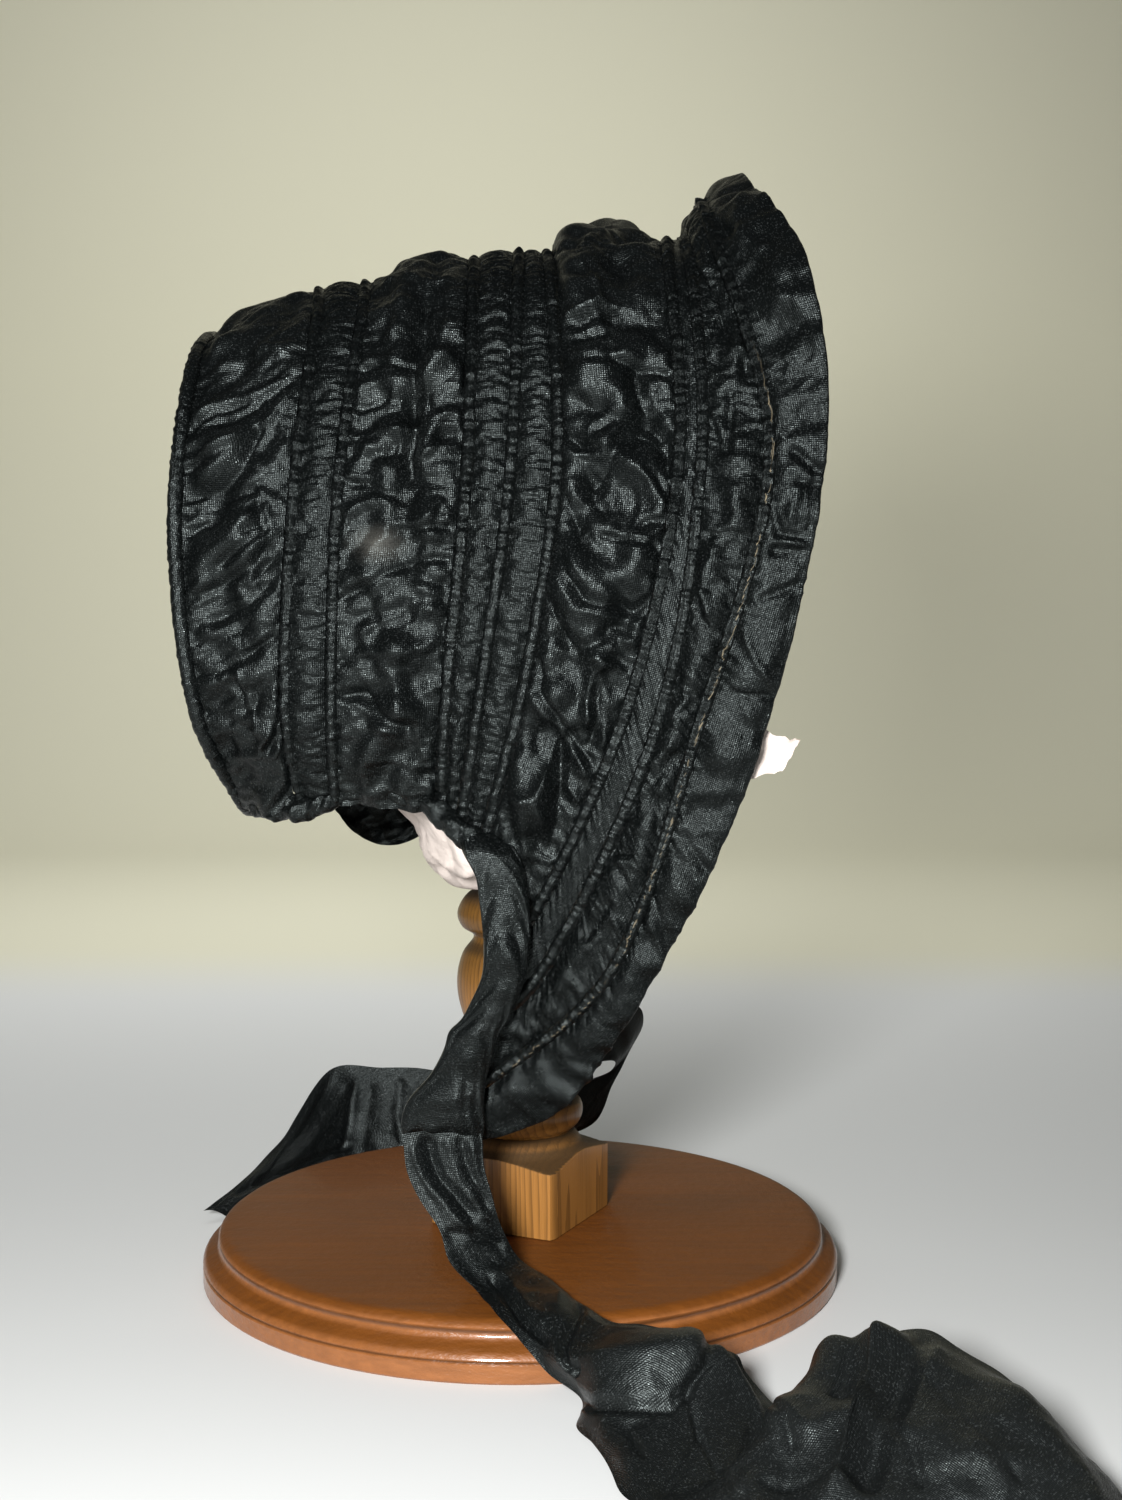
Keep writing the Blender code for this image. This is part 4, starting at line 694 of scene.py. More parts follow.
def gathered_panel(panel, index):
    """Silk of one panel, let out to its cut size between its two stitched lines."""
    name, _, front_name = panel[:3]
    full_u, full_v, slant, drawn, size, depth, streak, pitch, gather, reach = panel[7:]
    seed = 100 * (index + 1)
    loose = size > LOOSE_SIZE
    base = panel_base(panel)
    normals = grid_normals(base)
    along, across = square_measure(base)
    up = -np.sqrt(along ** 2 + 0.02 ** 2)
    width = across[-1:]
    edged = front_name == "edge"
    x = across * math.cos(slant) + up * math.sin(slant)
    y = up * math.cos(slant) - across * math.sin(slant)
    far = ramp(along, -0.02, 0.02)
    height = 0.0
    for more, share in ((0, 1.0 - far), (50, far)):
        large = depth * crushed(seed + more, x / drawn, y, (size, 0.45 * size))
        height = height + share * (large + streak * crushed(seed + more + 20, x / 3.5, y, (0.0065, 0.0035)))
        if loose:
            height = height + share * 0.7 * MM * crushed(seed + more + 40, x / 4.0, y, (0.0030, 0.0021))
    pin = np.zeros(base.shape[:2], np.float32)
    pin[1:-1, 1:-1] = 1.0
    from_front = width - across
    near = 1.0 - ramp(across if edged else np.minimum(across, from_front), 0.0,
                      min(reach, 0.35 * float(width.mean())))
    height = height * (1.0 - near)
    sides = ((5, across),) if edged else ((5, across), (6, from_front))
    for more, away in sides:
        share = 1.0 - ramp(away, 0.0, reach)
        fine = np.abs(noise(seed + more, along / pitch, away / (5.0 * pitch))) - 0.6
        wide = np.abs(noise(seed + more + 30, along / (2.1 * pitch), away / (7.0 * pitch))) - 0.6
        height = height + gather * (0.6 * fine * share ** 2 + 0.9 * wide * share)
    if name == "crown_middle_puff":
        line = (along + 0.075) / 0.075
        fold = np.exp(-((across / width - 0.62 - 0.06 * np.sin(4.0 * line)) / 0.10) ** 2)
        height = height - 0.0030 * fold * np.exp(-line ** 4)
    points = base + normals * height[..., None]
    for more, row in ((8, 0),) if edged else ((8, 0), (9, -1)):
        tuck = 0.30 * MM * pleats(seed + more, along[row]) - 0.30 * MM
        points[row] = base[row] + normals[row] * tuck[:, None]
    rounds, rise, bend = LOOSE_CLOTH if loose else TIGHT_CLOTH
    points = settle(points, pin, base, normals, full_u, full_v, rounds, LOWEST_DIP, rise, bend, SKEW_PULL)
    if name in COVER_FOLDS:
        edge = ramp(np.minimum(across, from_front + edged), 0.0, 1.2 * MM)
        lift = pressed(base[..., [0, 2]], COVER_FOLDS[name]) * (1.0 - ramp(base[..., 1], -0.03, 0.0))
        points = points + normals * (lift * edge)[..., None]
    return points, along, across


def pressed(place, folds):
    """Height of the ridges and grooves pressed into cloth along their lines."""
    height = np.zeros(place.shape[:2])
    for tall, wide, line in folds:
        line = np.array(line) * MM
        nearest = np.full(place.shape[:2], 1.0)
        for start, end in zip(line, line[1:]):
            way = end - start
            share = np.clip(((place - start) @ way) / (way @ way), 0.0, 1.0)
            away = np.linalg.norm(place - start - share[..., None] * way, axis=2)
            nearest = np.minimum(nearest, away)
        share = nearest / (wide * MM)
        shape = np.exp(-share ** 1.5) if tall > 0 else np.maximum(0.0, 1.0 - 0.7 * share)
        height = height + tall * MM * shape
    return height


def turned_under(grid, along, across):
    """Adds the rolled edge and the turning inside it to the front of a grid."""
    edge = grid[-1]
    out = edge - grid[-4]
    kernel = np.hanning(61) / np.hanning(61).sum()
    out = unit(np.stack([np.convolve(np.pad(way, 30, "edge"), kernel, "valid") for way in out.T], axis=1))
    normal = unit(np.cross(out, np.gradient(edge, axis=0)))
    normal *= np.sign(np.einsum("ij,ij->i", normal, edge - np.array([0.0, 0.0, 0.2])).mean())
    centre = edge - normal * ROLL_RADIUS
    rows = []
    for angle in np.linspace(0.0, math.pi, 7)[1:]:
        rows.append(centre + normal * ROLL_RADIUS * math.cos(angle) + out * ROLL_RADIUS * math.sin(angle))
    for reach in np.linspace(0.0, TURNING_REACH, 7)[1:]:
        puckers = 0.25 * MM * noise(77, along[-1] / 0.004, along[-1] * 0 + reach / 0.004)
        rows.append(centre - normal * (ROLL_RADIUS + puckers)[:, None] - out * reach)
    grid = np.concatenate([grid, np.stack(rows)])
    more = len(rows)
    run = across[-1] + np.arange(1, more + 1)[:, None] * MM
    return grid, np.concatenate([along, np.repeat(along[-1:], more, 0)]), np.concatenate([across, run])


def casing_grid(index):
    """Silk stitched down on both sides of a hoop's cane, with the hoop's line and the run along it."""
    names = list(HOOPS)
    columns = int(hoop_length(names[index]) / COLUMN) + 1
    line = hoop_line(names[index], columns)
    before = hoop_line(names[index - 1], columns) - line
    after = hoop_line(names[index + 1], columns) - line
    ways = unit(np.gradient(line, axis=0))
    sides = [unit(spans - np.einsum("ij,ij->i", spans, ways)[:, None] * ways) for spans in (before, after)]
    flat = np.stack([line + sides[int(reach >= 0.0)] * abs(reach) for reach in CASING_ACROSS])
    normals = unit(grid_normals(np.stack([line + before * 0.3, line, line + after * 0.3]))[1])
    along = running(line[None], 1)[0]
    along = along - along[columns // 2]
    crinkle = pleats(100 * index + 9, along)
    other = pleats(100 * (index + 1) + 8, along)
    middle = np.abs(pleats(100 * index + 10, along, 0.0009)) - 0.6
    slack = 0.25 * MM * pleats(100 * index + 11, along, 0.005)
    sway = 0.20 * MM * pleats(100 * index + 12, along, 0.004)
    grid = []
    for k, (row, lift) in enumerate(zip(flat, CASING_LIFT)):
        share = k / (len(flat) - 1)
        crest = math.sin(math.pi * share)
        ripple = 0.30 * ((1 - share) * crinkle + share * other) + 0.38 * crest ** 2 * middle
        shift = unit(after - before) * (sway * crest)[:, None]
        grid.append(row + shift + normals * (lift + ripple * MM + slack * crest)[:, None])
    return np.stack(grid), line, along


# Pieces

def hold(name, data, material, slot, *nodes):
    """Links a finished mesh as a piece that stands for its nodes of the frame."""
    item = bpy.data.objects.new(name, data)
    bpy.context.scene.collection.objects.link(item)
    data.materials.append(material)
    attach(item, "root")
    if nodes:
        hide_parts(*nodes)
    return item


def grid_data(name, grid, cloth):
    """Mesh over a grid of rows and columns, with the cloth's own measure as its map."""
    rows, columns = grid.shape[:2]
    mesh = bmesh.new()
    mesh.loops.layers.uv.new("cloth")
    bmesh.ops.create_grid(mesh, x_segments=columns - 1, y_segments=rows - 1, size=1.0)
    data = bpy.data.meshes.new(name)
    mesh.to_mesh(data)
    mesh.free()
    places = np.empty(len(data.vertices) * 3)
    data.vertices.foreach_get("co", places)
    places = places.reshape(-1, 3)
    column = np.rint((places[:, 0] + 1.0) * 0.5 * (columns - 1)).astype(int)
    row = np.rint((places[:, 1] + 1.0) * 0.5 * (rows - 1)).astype(int)
    data.vertices.foreach_set("co", grid[row, column].astype(np.float32).ravel())
    order = data.attributes.new("grid_order", "INT", "POINT")
    order.data.foreach_set("value", (row * columns + column).astype(np.int32))
    corner = np.empty(len(data.loops), np.int32)
    data.loops.foreach_get("vertex_index", corner)
    laid = np.stack([cloth[0][row, column], cloth[1][row, column]], axis=1)[corner]
    data.uv_layers["cloth"].data.foreach_set("uv", laid.astype(np.float32).ravel())
    data.shade_smooth()
    data.update()
    return data


def hold_grid(name, grid, cloth, material, slot, node):
    return hold(name, grid_data(name, grid, cloth), material, slot, node)


def declare_sheet(width, length):
    """Reckons a strip of cloth's width with the seam allowances and its area, and keeps neither."""
    allowed = width + 2 * SEAM_ALLOWANCE
    width * length


def store(data, name, values, shape):
    """Keeps one value for each point of a grid with its mesh."""
    layer = data.attributes.new(name, "FLOAT", "POINT")
    order = np.empty(len(data.vertices), np.int32)
    data.attributes["grid_order"].data.foreach_get("value", order)
    layer.data.foreach_set("value", np.broadcast_to(values, shape).ravel()[order].astype(np.float32))


def cloth_measure(grid):
    return running(grid, 1), running(grid, 0)


# Shader maths

class Sum:
    """A socket that can be used in plain arithmetic."""

    def __init__(self, bench, socket):
        self.bench = bench
        self.socket = socket

    def join(self, operation, other, swapped=False):
        first, second = (other, self) if swapped else (self, other)
        return self.bench.math(operation, first, second)

    def __add__(self, other):
        return self.join("ADD", other)

    __radd__ = __add__

    def __sub__(self, other):
        return self.join("SUBTRACT", other)

    def __rsub__(self, other):
        return self.join("SUBTRACT", other, True)

    def __mul__(self, other):
        return self.join("MULTIPLY", other)

    __rmul__ = __mul__


class Bench:
    """Makes the nodes of one material."""

    def __init__(self, name):
        self.material = bpy.data.materials.new(name)
        self.material.use_nodes = True
        self.tree = self.material.node_tree
        self.shader = self.tree.nodes["Principled BSDF"]

    def node(self, kind, settings=None, stops=None, output=0, **inputs):
        made = self.tree.nodes.new(kind)
        for key, value in (settings or {}).items():
            setattr(made, key, value)
        if stops:
            ramp_stops = made.color_ramp.elements
            while len(ramp_stops) > len(stops):
                ramp_stops.remove(ramp_stops[-1])
            while len(ramp_stops) < len(stops):
                ramp_stops.new(1.0)
            for stop, (place, colour) in zip(ramp_stops, stops):
                stop.position = place
                stop.color = (*colour, 1.0) if len(colour) == 3 else (colour[0],) * 3 + (1.0,)
        for key, value in inputs.items():
            self.feed(made.inputs[int(key[1:]) if key[0] == "i" and key[1:].isdigit() else
                                  key.replace("_", " ")], value)
        return Sum(self, made.outputs[output])

    def feed(self, socket, value):
        if isinstance(value, Sum):
            self.tree.links.new(value.socket, socket)
        elif isinstance(value, (int, float)) or socket.type != "RGBA":
            socket.default_value = value
        else:
            socket.default_value = (*value, 1.0) if len(value) == 3 else value

    def math(self, operation, first, second=0.5):
        return self.node("ShaderNodeMath", {"operation": operation}, i0=first, i1=second)

    def ramp(self, value, low, high):
        return self.node("ShaderNodeMapRange", {"interpolation_type": "SMOOTHSTEP"}, Value=value,
                         From_Min=low, From_Max=high)

    def mix(self, share, first, second, blend="MIX"):
        return self.node("ShaderNodeMix", {"data_type": "RGBA", "blend_type": blend}, output=2,
                         i0=share, i6=first, i7=second)

    def place(self, scale=(1.0, 1.0, 1.0), turn=(0.0, 0.0, 0.0), cloth=False):
        kind = "UV" if cloth else "Object"
        source = self.tree.nodes.new("ShaderNodeTexCoord")
        return self.node("ShaderNodeMapping", Vector=Sum(self, source.outputs[kind]), Scale=scale,
                         Rotation=turn)

    def axis(self, vector, which):
        return self.node("ShaderNodeSeparateXYZ", Vector=vector, output=which)

    def stored(self, name):
        return self.node("ShaderNodeAttribute", {"attribute_name": name}, output=2)

    def away(self, value, low, high):
        """Nought where a value is near nought, one where it is far from it on either side."""
        return self.ramp(self.math("ABSOLUTE", value), low, high)

    def noise(self, vector, scale, detail=3.0, rough=0.5, warp=0.0):
        return self.node("ShaderNodeTexNoise", Vector=vector, Scale=scale, Detail=detail,
                         Roughness=rough, Distortion=warp)

    def bump(self, height, depth, strength=1.0, under=None):
        extra = {"Normal": under} if under else {}
        return self.node("ShaderNodeBump", Height=height, Distance=depth, Strength=strength, **extra)

    def finish(self, **sockets):
        for key, value in sockets.items():
            self.feed(self.shader.inputs[key.replace("_", " ")], value)
        return self.material


def shade(colour, *shares):
    """A colour made darker or lighter, by one share or by one for each channel."""
    return tuple(k * c for k, c in zip(shares * (3 // len(shares)), colour))


def silk_material(name, settings, mark=""):
    """Black taffeta: dark body, fine threads both ways, weft slubs and sparkling floats, with painted
    sparkle and glints lightening its colour in flecks and specks.
    """
    bench = Bench(name)
    cloth = bench.place(cloth=True)
    room = bench.place()
    patches = bench.noise(room, 45.0, 3.0)
    grain = bench.noise(room, 1500.0, 1.0, 0.5)
    slubs = bench.noise(bench.place(scale=(1.0, 9.0, 1.0), cloth=True), 240.0, 2.0, 0.6)
    specks = bench.ramp(bench.noise(room, 2100.0, 0.0), 0.64, 0.74)
    colour = bench.mix(patches, shade(settings.colour, 0.7), shade(settings.colour, 1.4))
    # Flecks where grain and slubs run high are lightened: painted sparkle of the threads, and lint.
    flecks = bench.ramp(grain * 0.6 + slubs * 0.6, 0.72, 0.90)
    colour = bench.mix(flecks * 0.35, colour, (0.028, 0.031, 0.031))
    # Painted glints: the specks' colour is lightened towards grey, besides their lower roughness below.
    colour = bench.mix(specks * 0.25, colour, (0.06, 0.066, 0.066))
    if mark == "tie":
        # Ties: painted sheen, the colour lightened more and more going forward, with painted glints at the
        # specks.
        painted_sheen_share = bench.ramp(bench.axis(room, 0), 0.0, 0.06)
        colour = bench.mix((0.01 + 0.07 * painted_sheen_share) * (0.6 + 0.8 * grain) + 0.2 * specks, colour,
                           (0.065, 0.072, 0.072))
    if mark == "dust":
        spot = bench.node("ShaderNodeVectorMath", {"operation": "DISTANCE"}, output=1,
                          i0=bench.place(scale=(0.6, 0.2, 1.0)), i1=(-0.0379 * 0.6, -0.082 * 0.2, 0.2290))
        blot = (1.0 - bench.ramp(spot, 0.0, 0.0068)) * bench.ramp(patches + 0.4 * grain, 0.45, 0.95)
        colour = bench.mix(blot * 0.6, colour, (0.085, 0.082, 0.072))
    rough = settings.roughness + 0.10 * (patches - 0.5) + 0.16 * (grain - 0.5) + 0.12 * (slubs - 0.5)
    rough = rough - 0.14 * specks
    if mark == "worn":
        across = bench.axis(cloth, 1) - 0.0042
        wander = bench.noise(bench.place(scale=(1.0, 0.0, 1.0), cloth=True), 400.0, 1.0) - 0.5
        crest = 1.0 - bench.away(across + 0.0012 * wander, 0.00008, 0.00030)
        dots = bench.noise(bench.place(scale=(1.0, 0.15, 1.0), cloth=True), 900.0, 0.0)
        dots = bench.ramp(dots, 0.48, 0.56)
        share = crest * dots * bench.stored("worn")
        colour = bench.mix(share, colour, (0.19, 0.155, 0.10))
        rough = rough + 0.3 * share
    warp, weft = (bench.node("ShaderNodeTexWave", {"bands_direction": way}, Vector=cloth, Scale=count,
                             Distortion=0.5, Detail=1.0) for way, count in (("X", 620.0), ("Y", 560.0)))
    weave = bench.bump(0.4 * warp + 0.4 * weft + 1.0 * grain + 0.8 * slubs, 0.00014, 0.75)
    puckers = bench.noise(room, 260.0, 2.0, 0.5, 0.4)
    creases = bench.noise(room, 330.0, 2.0, 0.55, 0.8) - 0.5
    creases = 1.0 - bench.away(creases, 0.0, 0.05)
    surface = bench.bump(puckers - 0.30 * creases, 0.00022, 0.50, weave)
    material = bench.finish(Base_Color=colour, Roughness=rough + 0.07 * (mark == "tie"), Normal=surface)
    shader = bench.shader
    shader.inputs["Specular IOR Level"].default_value = {"tie": 0.31, "band": 0.18}.get(mark, 0.25)
    shader.inputs["Specular Tint"].default_value = (0.88, 1.0, 0.98, 1.0)
    return material


def stained_material(name, colour):
    """Even brown stain over faint straight grain, satin on the top and glossy on the mouldings."""
    bench = Bench(name)
    lines = bench.noise(bench.place(scale=(0.06, 1.0, 1.0), turn=(0.0, 0.0, 0.35)), 420.0, 4.0, 0.6)
    clouds = bench.noise(bench.place(scale=(0.4, 1.0, 1.0)), 28.0, 3.0)
    share = bench.ramp(0.50 * lines + 0.50 * clouds, 0.30, 0.70)
    tone = bench.mix(share, shade(colour, 0.78), shade(colour, 1.16))
    upward = bench.stored("facing_up")
    height = bench.axis(bench.place(), 2)
    groove = bench.away(height - 0.0130, 0.0, 0.0012) * bench.away(height - 0.0060, 0.0, 0.0006)
    tone = bench.mix(1.0 - groove, tone, shade(colour, 0.35))
    drips = bench.noise(bench.place(scale=(1.0, 1.0, 2.0)), 260.0, 3.0, 0.6)
    tone = bench.mix(upward, tone, (0.56, 0.46, 0.14), "MULTIPLY")
    surface = bench.bump(lines, 0.00010, 0.3, bench.bump(drips, 0.0009, 0.5))
    return bench.finish(Base_Color=tone, Roughness=0.36 + 0.26 * upward + 0.10 * (clouds - 0.5),
                        Coat_Weight=0.55 - 0.50 * upward, Coat_Roughness=0.10, Normal=surface,
                        Specular_IOR_Level=0.25)


def oiled_material(name, colour):
    """Softwood with dark upright grain lines, darker end grain with painted shade on faces that look up, and
    a painted shadow of the bonnet over the top of the post.
    """
    bench = Bench(name)
    wander = bench.noise(bench.place(scale=(1.0, 1.0, 0.08)), 60.0, 3.0)
    across = bench.place(scale=(1.0, 1.0, 0.02), turn=(0.0, 0.0, 0.5))
    shifted = bench.node("ShaderNodeVectorMath", {"operation": "ADD"}, i0=across,
                         i1=bench.node("ShaderNodeVectorMath", {"operation": "SCALE"}, i0=wander,
                                       Scale=0.010))
    rings = bench.node("ShaderNodeTexWave", {"bands_direction": "X", "wave_profile": "SAW"},
                       Vector=shifted, Scale=150.0, Distortion=1.2, Detail=3.0, Detail_Scale=2.0)
    fibres = bench.noise(bench.place(scale=(1.0, 1.0, 0.02)), 1300.0, 3.0, 0.65)
    broad = bench.noise(bench.place(scale=(1.0, 1.0, 0.05)), 150.0, 2.0)
    grain = bench.ramp(rings * 0.5 + fibres * 0.7 + broad * 0.3, 0.55, 1.10)
    tone = bench.node("ShaderNodeValToRGB", Fac=grain,
                      stops=((0.0, shade(colour, 1.02)), (0.5, shade(colour, 0.84)),
                             (1.0, shade(colour, 0.55))))
    end = bench.stored("facing_up")
    # Faces that look up go very dark: their end grain, together with painted shade on the shoulder and other
    # upward faces.
    tone = bench.mix(end * 0.92, tone, shade(colour, 0.17, 0.21, 0.34))
    height = bench.axis(bench.place(), 2)
    # Painted shadow of the bonnet: the wood multiplied darker towards the top of the post, under the bonnet.
    tone = bench.mix(bench.ramp(height, 0.078, 0.105), tone, (0.40, 0.42, 0.38), "MULTIPLY")
    ridges = bench.bump(fibres + 0.4 * grain, 0.00015, 0.5)
    return bench.finish(Base_Color=tone, Roughness=0.40 + 0.12 * (fibres - 0.5) + 0.25 * end,
                        Coat_Weight=0.25 - 0.25 * end, Coat_Roughness=0.15, Normal=ridges,
                        Specular_IOR_Level=0.3)


def paper_material(settings):
    """Soft tissue paper, pinkish white, with fibres."""
    bench = Bench("crumpled_tissue")
    room = bench.place()
    fibres = bench.noise(room, 900.0, 3.0, 0.6)
    clouds = bench.noise(room, 40.0, 2.0)
    colour = bench.mix(clouds, shade(settings.colour, 0.9), settings.colour)
    creases = bench.noise(room, 120.0, 4.0, 0.6, 0.6)
    surface = bench.bump(creases, 0.0015, 0.5, bench.bump(fibres, 0.0001, 0.4))
    return bench.finish(Base_Color=colour, Roughness=0.85, Normal=surface)


# What a user would change

def tint(name, description, default):
    return FloatVectorProperty(name=name, description=description, default=default, size=3, min=0.0,
                               max=1.0, subtype="COLOR")


class SilkSettings(bpy.types.PropertyGroup):
    colour: tint("Silk colour", "Body colour of the silk", (0.0016, 0.0020, 0.0020))
    roughness: FloatProperty(name="Roughness", description="Lower is glossier", default=0.31,
                             min=0.1, max=1.0, subtype="FACTOR")


class StandSettings(bpy.types.PropertyGroup):
    plaque: tint("Plaque colour", "Stained top of the plaque", (0.26, 0.095, 0.028))
    post: tint("Post colour", "Oiled wood of the post", (0.315, 0.140, 0.032))
    steps: IntProperty(name="Steps", description="Sides of each turned part", default=96, min=24,
                       max=256)


class PaperSettings(bpy.types.PropertyGroup):
    colour: tint("Paper colour", "Colour of the tissue paper", (0.62, 0.54, 0.49))


class StageSettings(bpy.types.PropertyGroup):
    floor: tint("Floor", "Colour of the floor", (0.74, 0.75, 0.74))
    wall: tint("Wall", "Colour of the wall behind", (0.76, 0.74, 0.58))
    key: FloatProperty(name="Key light", description="Power of the light beside the camera",
                       default=9.6, min=0.0, max=200.0, unit="POWER")
    glow: FloatProperty(name="Wall light", description="Power of the light on the wall behind",
                        default=6.8, min=0.0, max=200.0, unit="POWER")


class Maker(bpy.types.Operator):
    bl_options = {"REGISTER", "UNDO"}


class BONNET_OT_stage(Maker):
    """Sets the camera, the pale floor and wall, and the lights"""

    bl_idname = "bonnet.stage"
    bl_label = "Camera, floor and light"

    def execute(self, context):
        settings = context.scene.bonnet_stage
        lens = bpy.data.cameras.new("camera")
        lens.sensor_fit = "HORIZONTAL"
        lens.sensor_width = SENSOR_WIDTH
        lens.lens = FOCAL_LENGTH / PICTURE_WIDTH * SENSOR_WIDTH
        lens.clip_start = 0.01
        camera = bpy.data.objects.new("camera", lens)
        camera.location = CAMERA_PLACE
        camera.rotation_euler = (math.radians(90.0) - CAMERA_DIP, 0.0, 0.0)
        context.scene.collection.objects.link(camera)
        context.scene.camera = camera
        mesh = bmesh.new()
        bmesh.ops.create_grid(mesh, x_segments=1, y_segments=1, size=SWEEP_SIZE)
        back = [edge for edge in mesh.edges if all(v.co.y > 0.0 for v in edge.verts)]
        bmesh.ops.transform(mesh, matrix=Matrix.Translation((0.0, SWEEP_SHIFT, 0.0)), verts=mesh.verts)
        wall = bmesh.ops.extrude_edge_only(mesh, edges=back)["geom"]
        corners = [v for v in wall if isinstance(v, bmesh.types.BMVert)]
        bmesh.ops.translate(mesh, vec=(0.0, 0.0, SWEEP_HEIGHT), verts=corners)
        bmesh.ops.bevel(mesh, geom=back, offset=SWEEP_BEND, offset_type="OFFSET", segments=16, profile=0.5,
                        affect="EDGES", clamp_overlap=True, material=-1)
        bmesh.ops.recalc_face_normals(mesh, faces=mesh.faces)
        data = bpy.data.meshes.new("sweep")
        mesh.to_mesh(data)
        mesh.free()
        data.shade_smooth()
        bench = Bench("pale_sweep")
        behind = bench.ramp(bench.axis(bench.place(), 1), 0.42, 0.62)
        tone = bench.mix(behind, tuple(settings.floor), tuple(settings.wall))
        data.materials.append(bench.finish(Base_Color=tone, Roughness=0.9))
        sweep = bpy.data.objects.new("sweep", data)
        context.scene.collection.objects.link(sweep)
        self.lamp(context, settings.key, *KEY_LAMP)
        self.lamp(context, settings.glow, *WALL_LAMP)
        world = bpy.data.worlds.new("soft_room")
        world.use_nodes = True
        sky = world.node_tree.nodes["Background"].inputs
        sky["Color"].default_value = (0.9, 0.95, 1.0, 1.0)
        sky["Strength"].default_value = 0.07
        context.scene.world = world
        context.scene.view_settings.view_transform = "Standard"
        return {"FINISHED"}

    def lamp(self, context, power, name, place, aim, size):
        light = bpy.data.lights.new(name, "AREA")
        light.shape = "DISK"
        light.size = size
        light.energy = power
        item = bpy.data.objects.new(name, light)
        item.location = place
        item.rotation_euler = (Vector(aim) - Vector(place)).to_track_quat("-Z", "Y").to_euler()
        context.scene.collection.objects.link(item)


def turned(profile, steps):
    """Profile of radius and height spun about the upright axis."""
    mesh = bmesh.new()
    verts = [mesh.verts.new((radius, 0.0, height)) for radius, height in profile]
    edges = [mesh.edges.new(pair) for pair in zip(verts, verts[1:])]
    bmesh.ops.spin(mesh, geom=verts + edges, cent=(0.0, 0.0, 0.0), axis=(0.0, 0.0, 1.0),
                   dvec=(0.0, 0.0, 0.0), angle=math.tau, steps=steps, use_merge=True,
                   use_duplicate=False)
    bmesh.ops.remove_doubles(mesh, verts=mesh.verts, dist=1e-6)
    bmesh.ops.recalc_face_normals(mesh, faces=mesh.faces)
    return mesh


def crisp(mesh, degrees=32.0):
    """Keeps the sharp edges of a mesh sharp under smooth shading."""
    for face in mesh.faces:
        face.smooth = True
    for edge in mesh.edges:
        if edge.is_manifold and edge.calc_face_angle() > math.radians(degrees):
            edge.smooth = False


def facing_up(data):
    """Stores how far each point's surface faces up, which shows the wood's end grain; on the post the same
    share also carries painted shade.
    """
    normals = np.empty(len(data.vertices) * 3)
    data.vertices.foreach_get("normal", normals)
    share = ramp(normals.reshape(-1, 3)[:, 2], 0.40, 0.75)
    layer = data.attributes.new("facing_up", "FLOAT", "POINT")
    layer.data.foreach_set("value", share.astype(np.float32))


def finish_turning(name, mesh, wood, slot, node):
    """Makes a turned mesh into a piece of wood."""
    crisp(mesh)
    data = bpy.data.meshes.new(name)
    mesh.to_mesh(data)
    mesh.free()
    facing_up(data)
    hold(name, data, wood, slot, node)


class BONNET_OT_stand(Maker):
    """Turns the moulded plaque and the baluster post"""

    bl_idname = "bonnet.stand"
    bl_label = "Turned stand"

    def execute(self, context):
        settings = context.scene.bonnet_stand
        wood = stained_material("stained_wood", tuple(settings.plaque))
        finish_turning("moulded_plaque", turned(PLAQUE_PROFILE, settings.steps), wood, "stained_plaque",
                       "base_plaque")
        shoulder = smooth_line(SHOULDER_PROFILE, 40)
        spindle = smooth_line(TURNING_PROFILE, 90)
        radius, top = SHOULDER_PROFILE[-1]
        wall = [(radius, height) for height in np.linspace(top, POST_FOOT, 16)[1:]]
        profile = [tuple(p) for p in spindle] + [tuple(p) for p in shoulder[1:]] + wall
        mesh = turned(profile + [(0.0, POST_FOOT)], settings.steps)
        half = BLOCK_SIDE / 2
        for vert in mesh.verts:
            radius = math.hypot(vert.co.x, vert.co.y)
            if vert.co.z > BLOCK_TOP or radius < 1e-6:
                continue
            angle = math.atan2(vert.co.y, vert.co.x) - BLOCK_TURN
            across = max(abs(math.cos(angle)), abs(math.sin(angle)))
            most = min(half / across, BLOCK_CORNER)
            if radius > most:
                vert.co.x *= most / radius
                vert.co.y *= most / radius
        mesh.normal_update()
        wood = oiled_material("oiled_wood", tuple(settings.post))
        finish_turning("baluster_post", mesh, wood, "oiled_post", "turned_post")
        return {"FINISHED"}


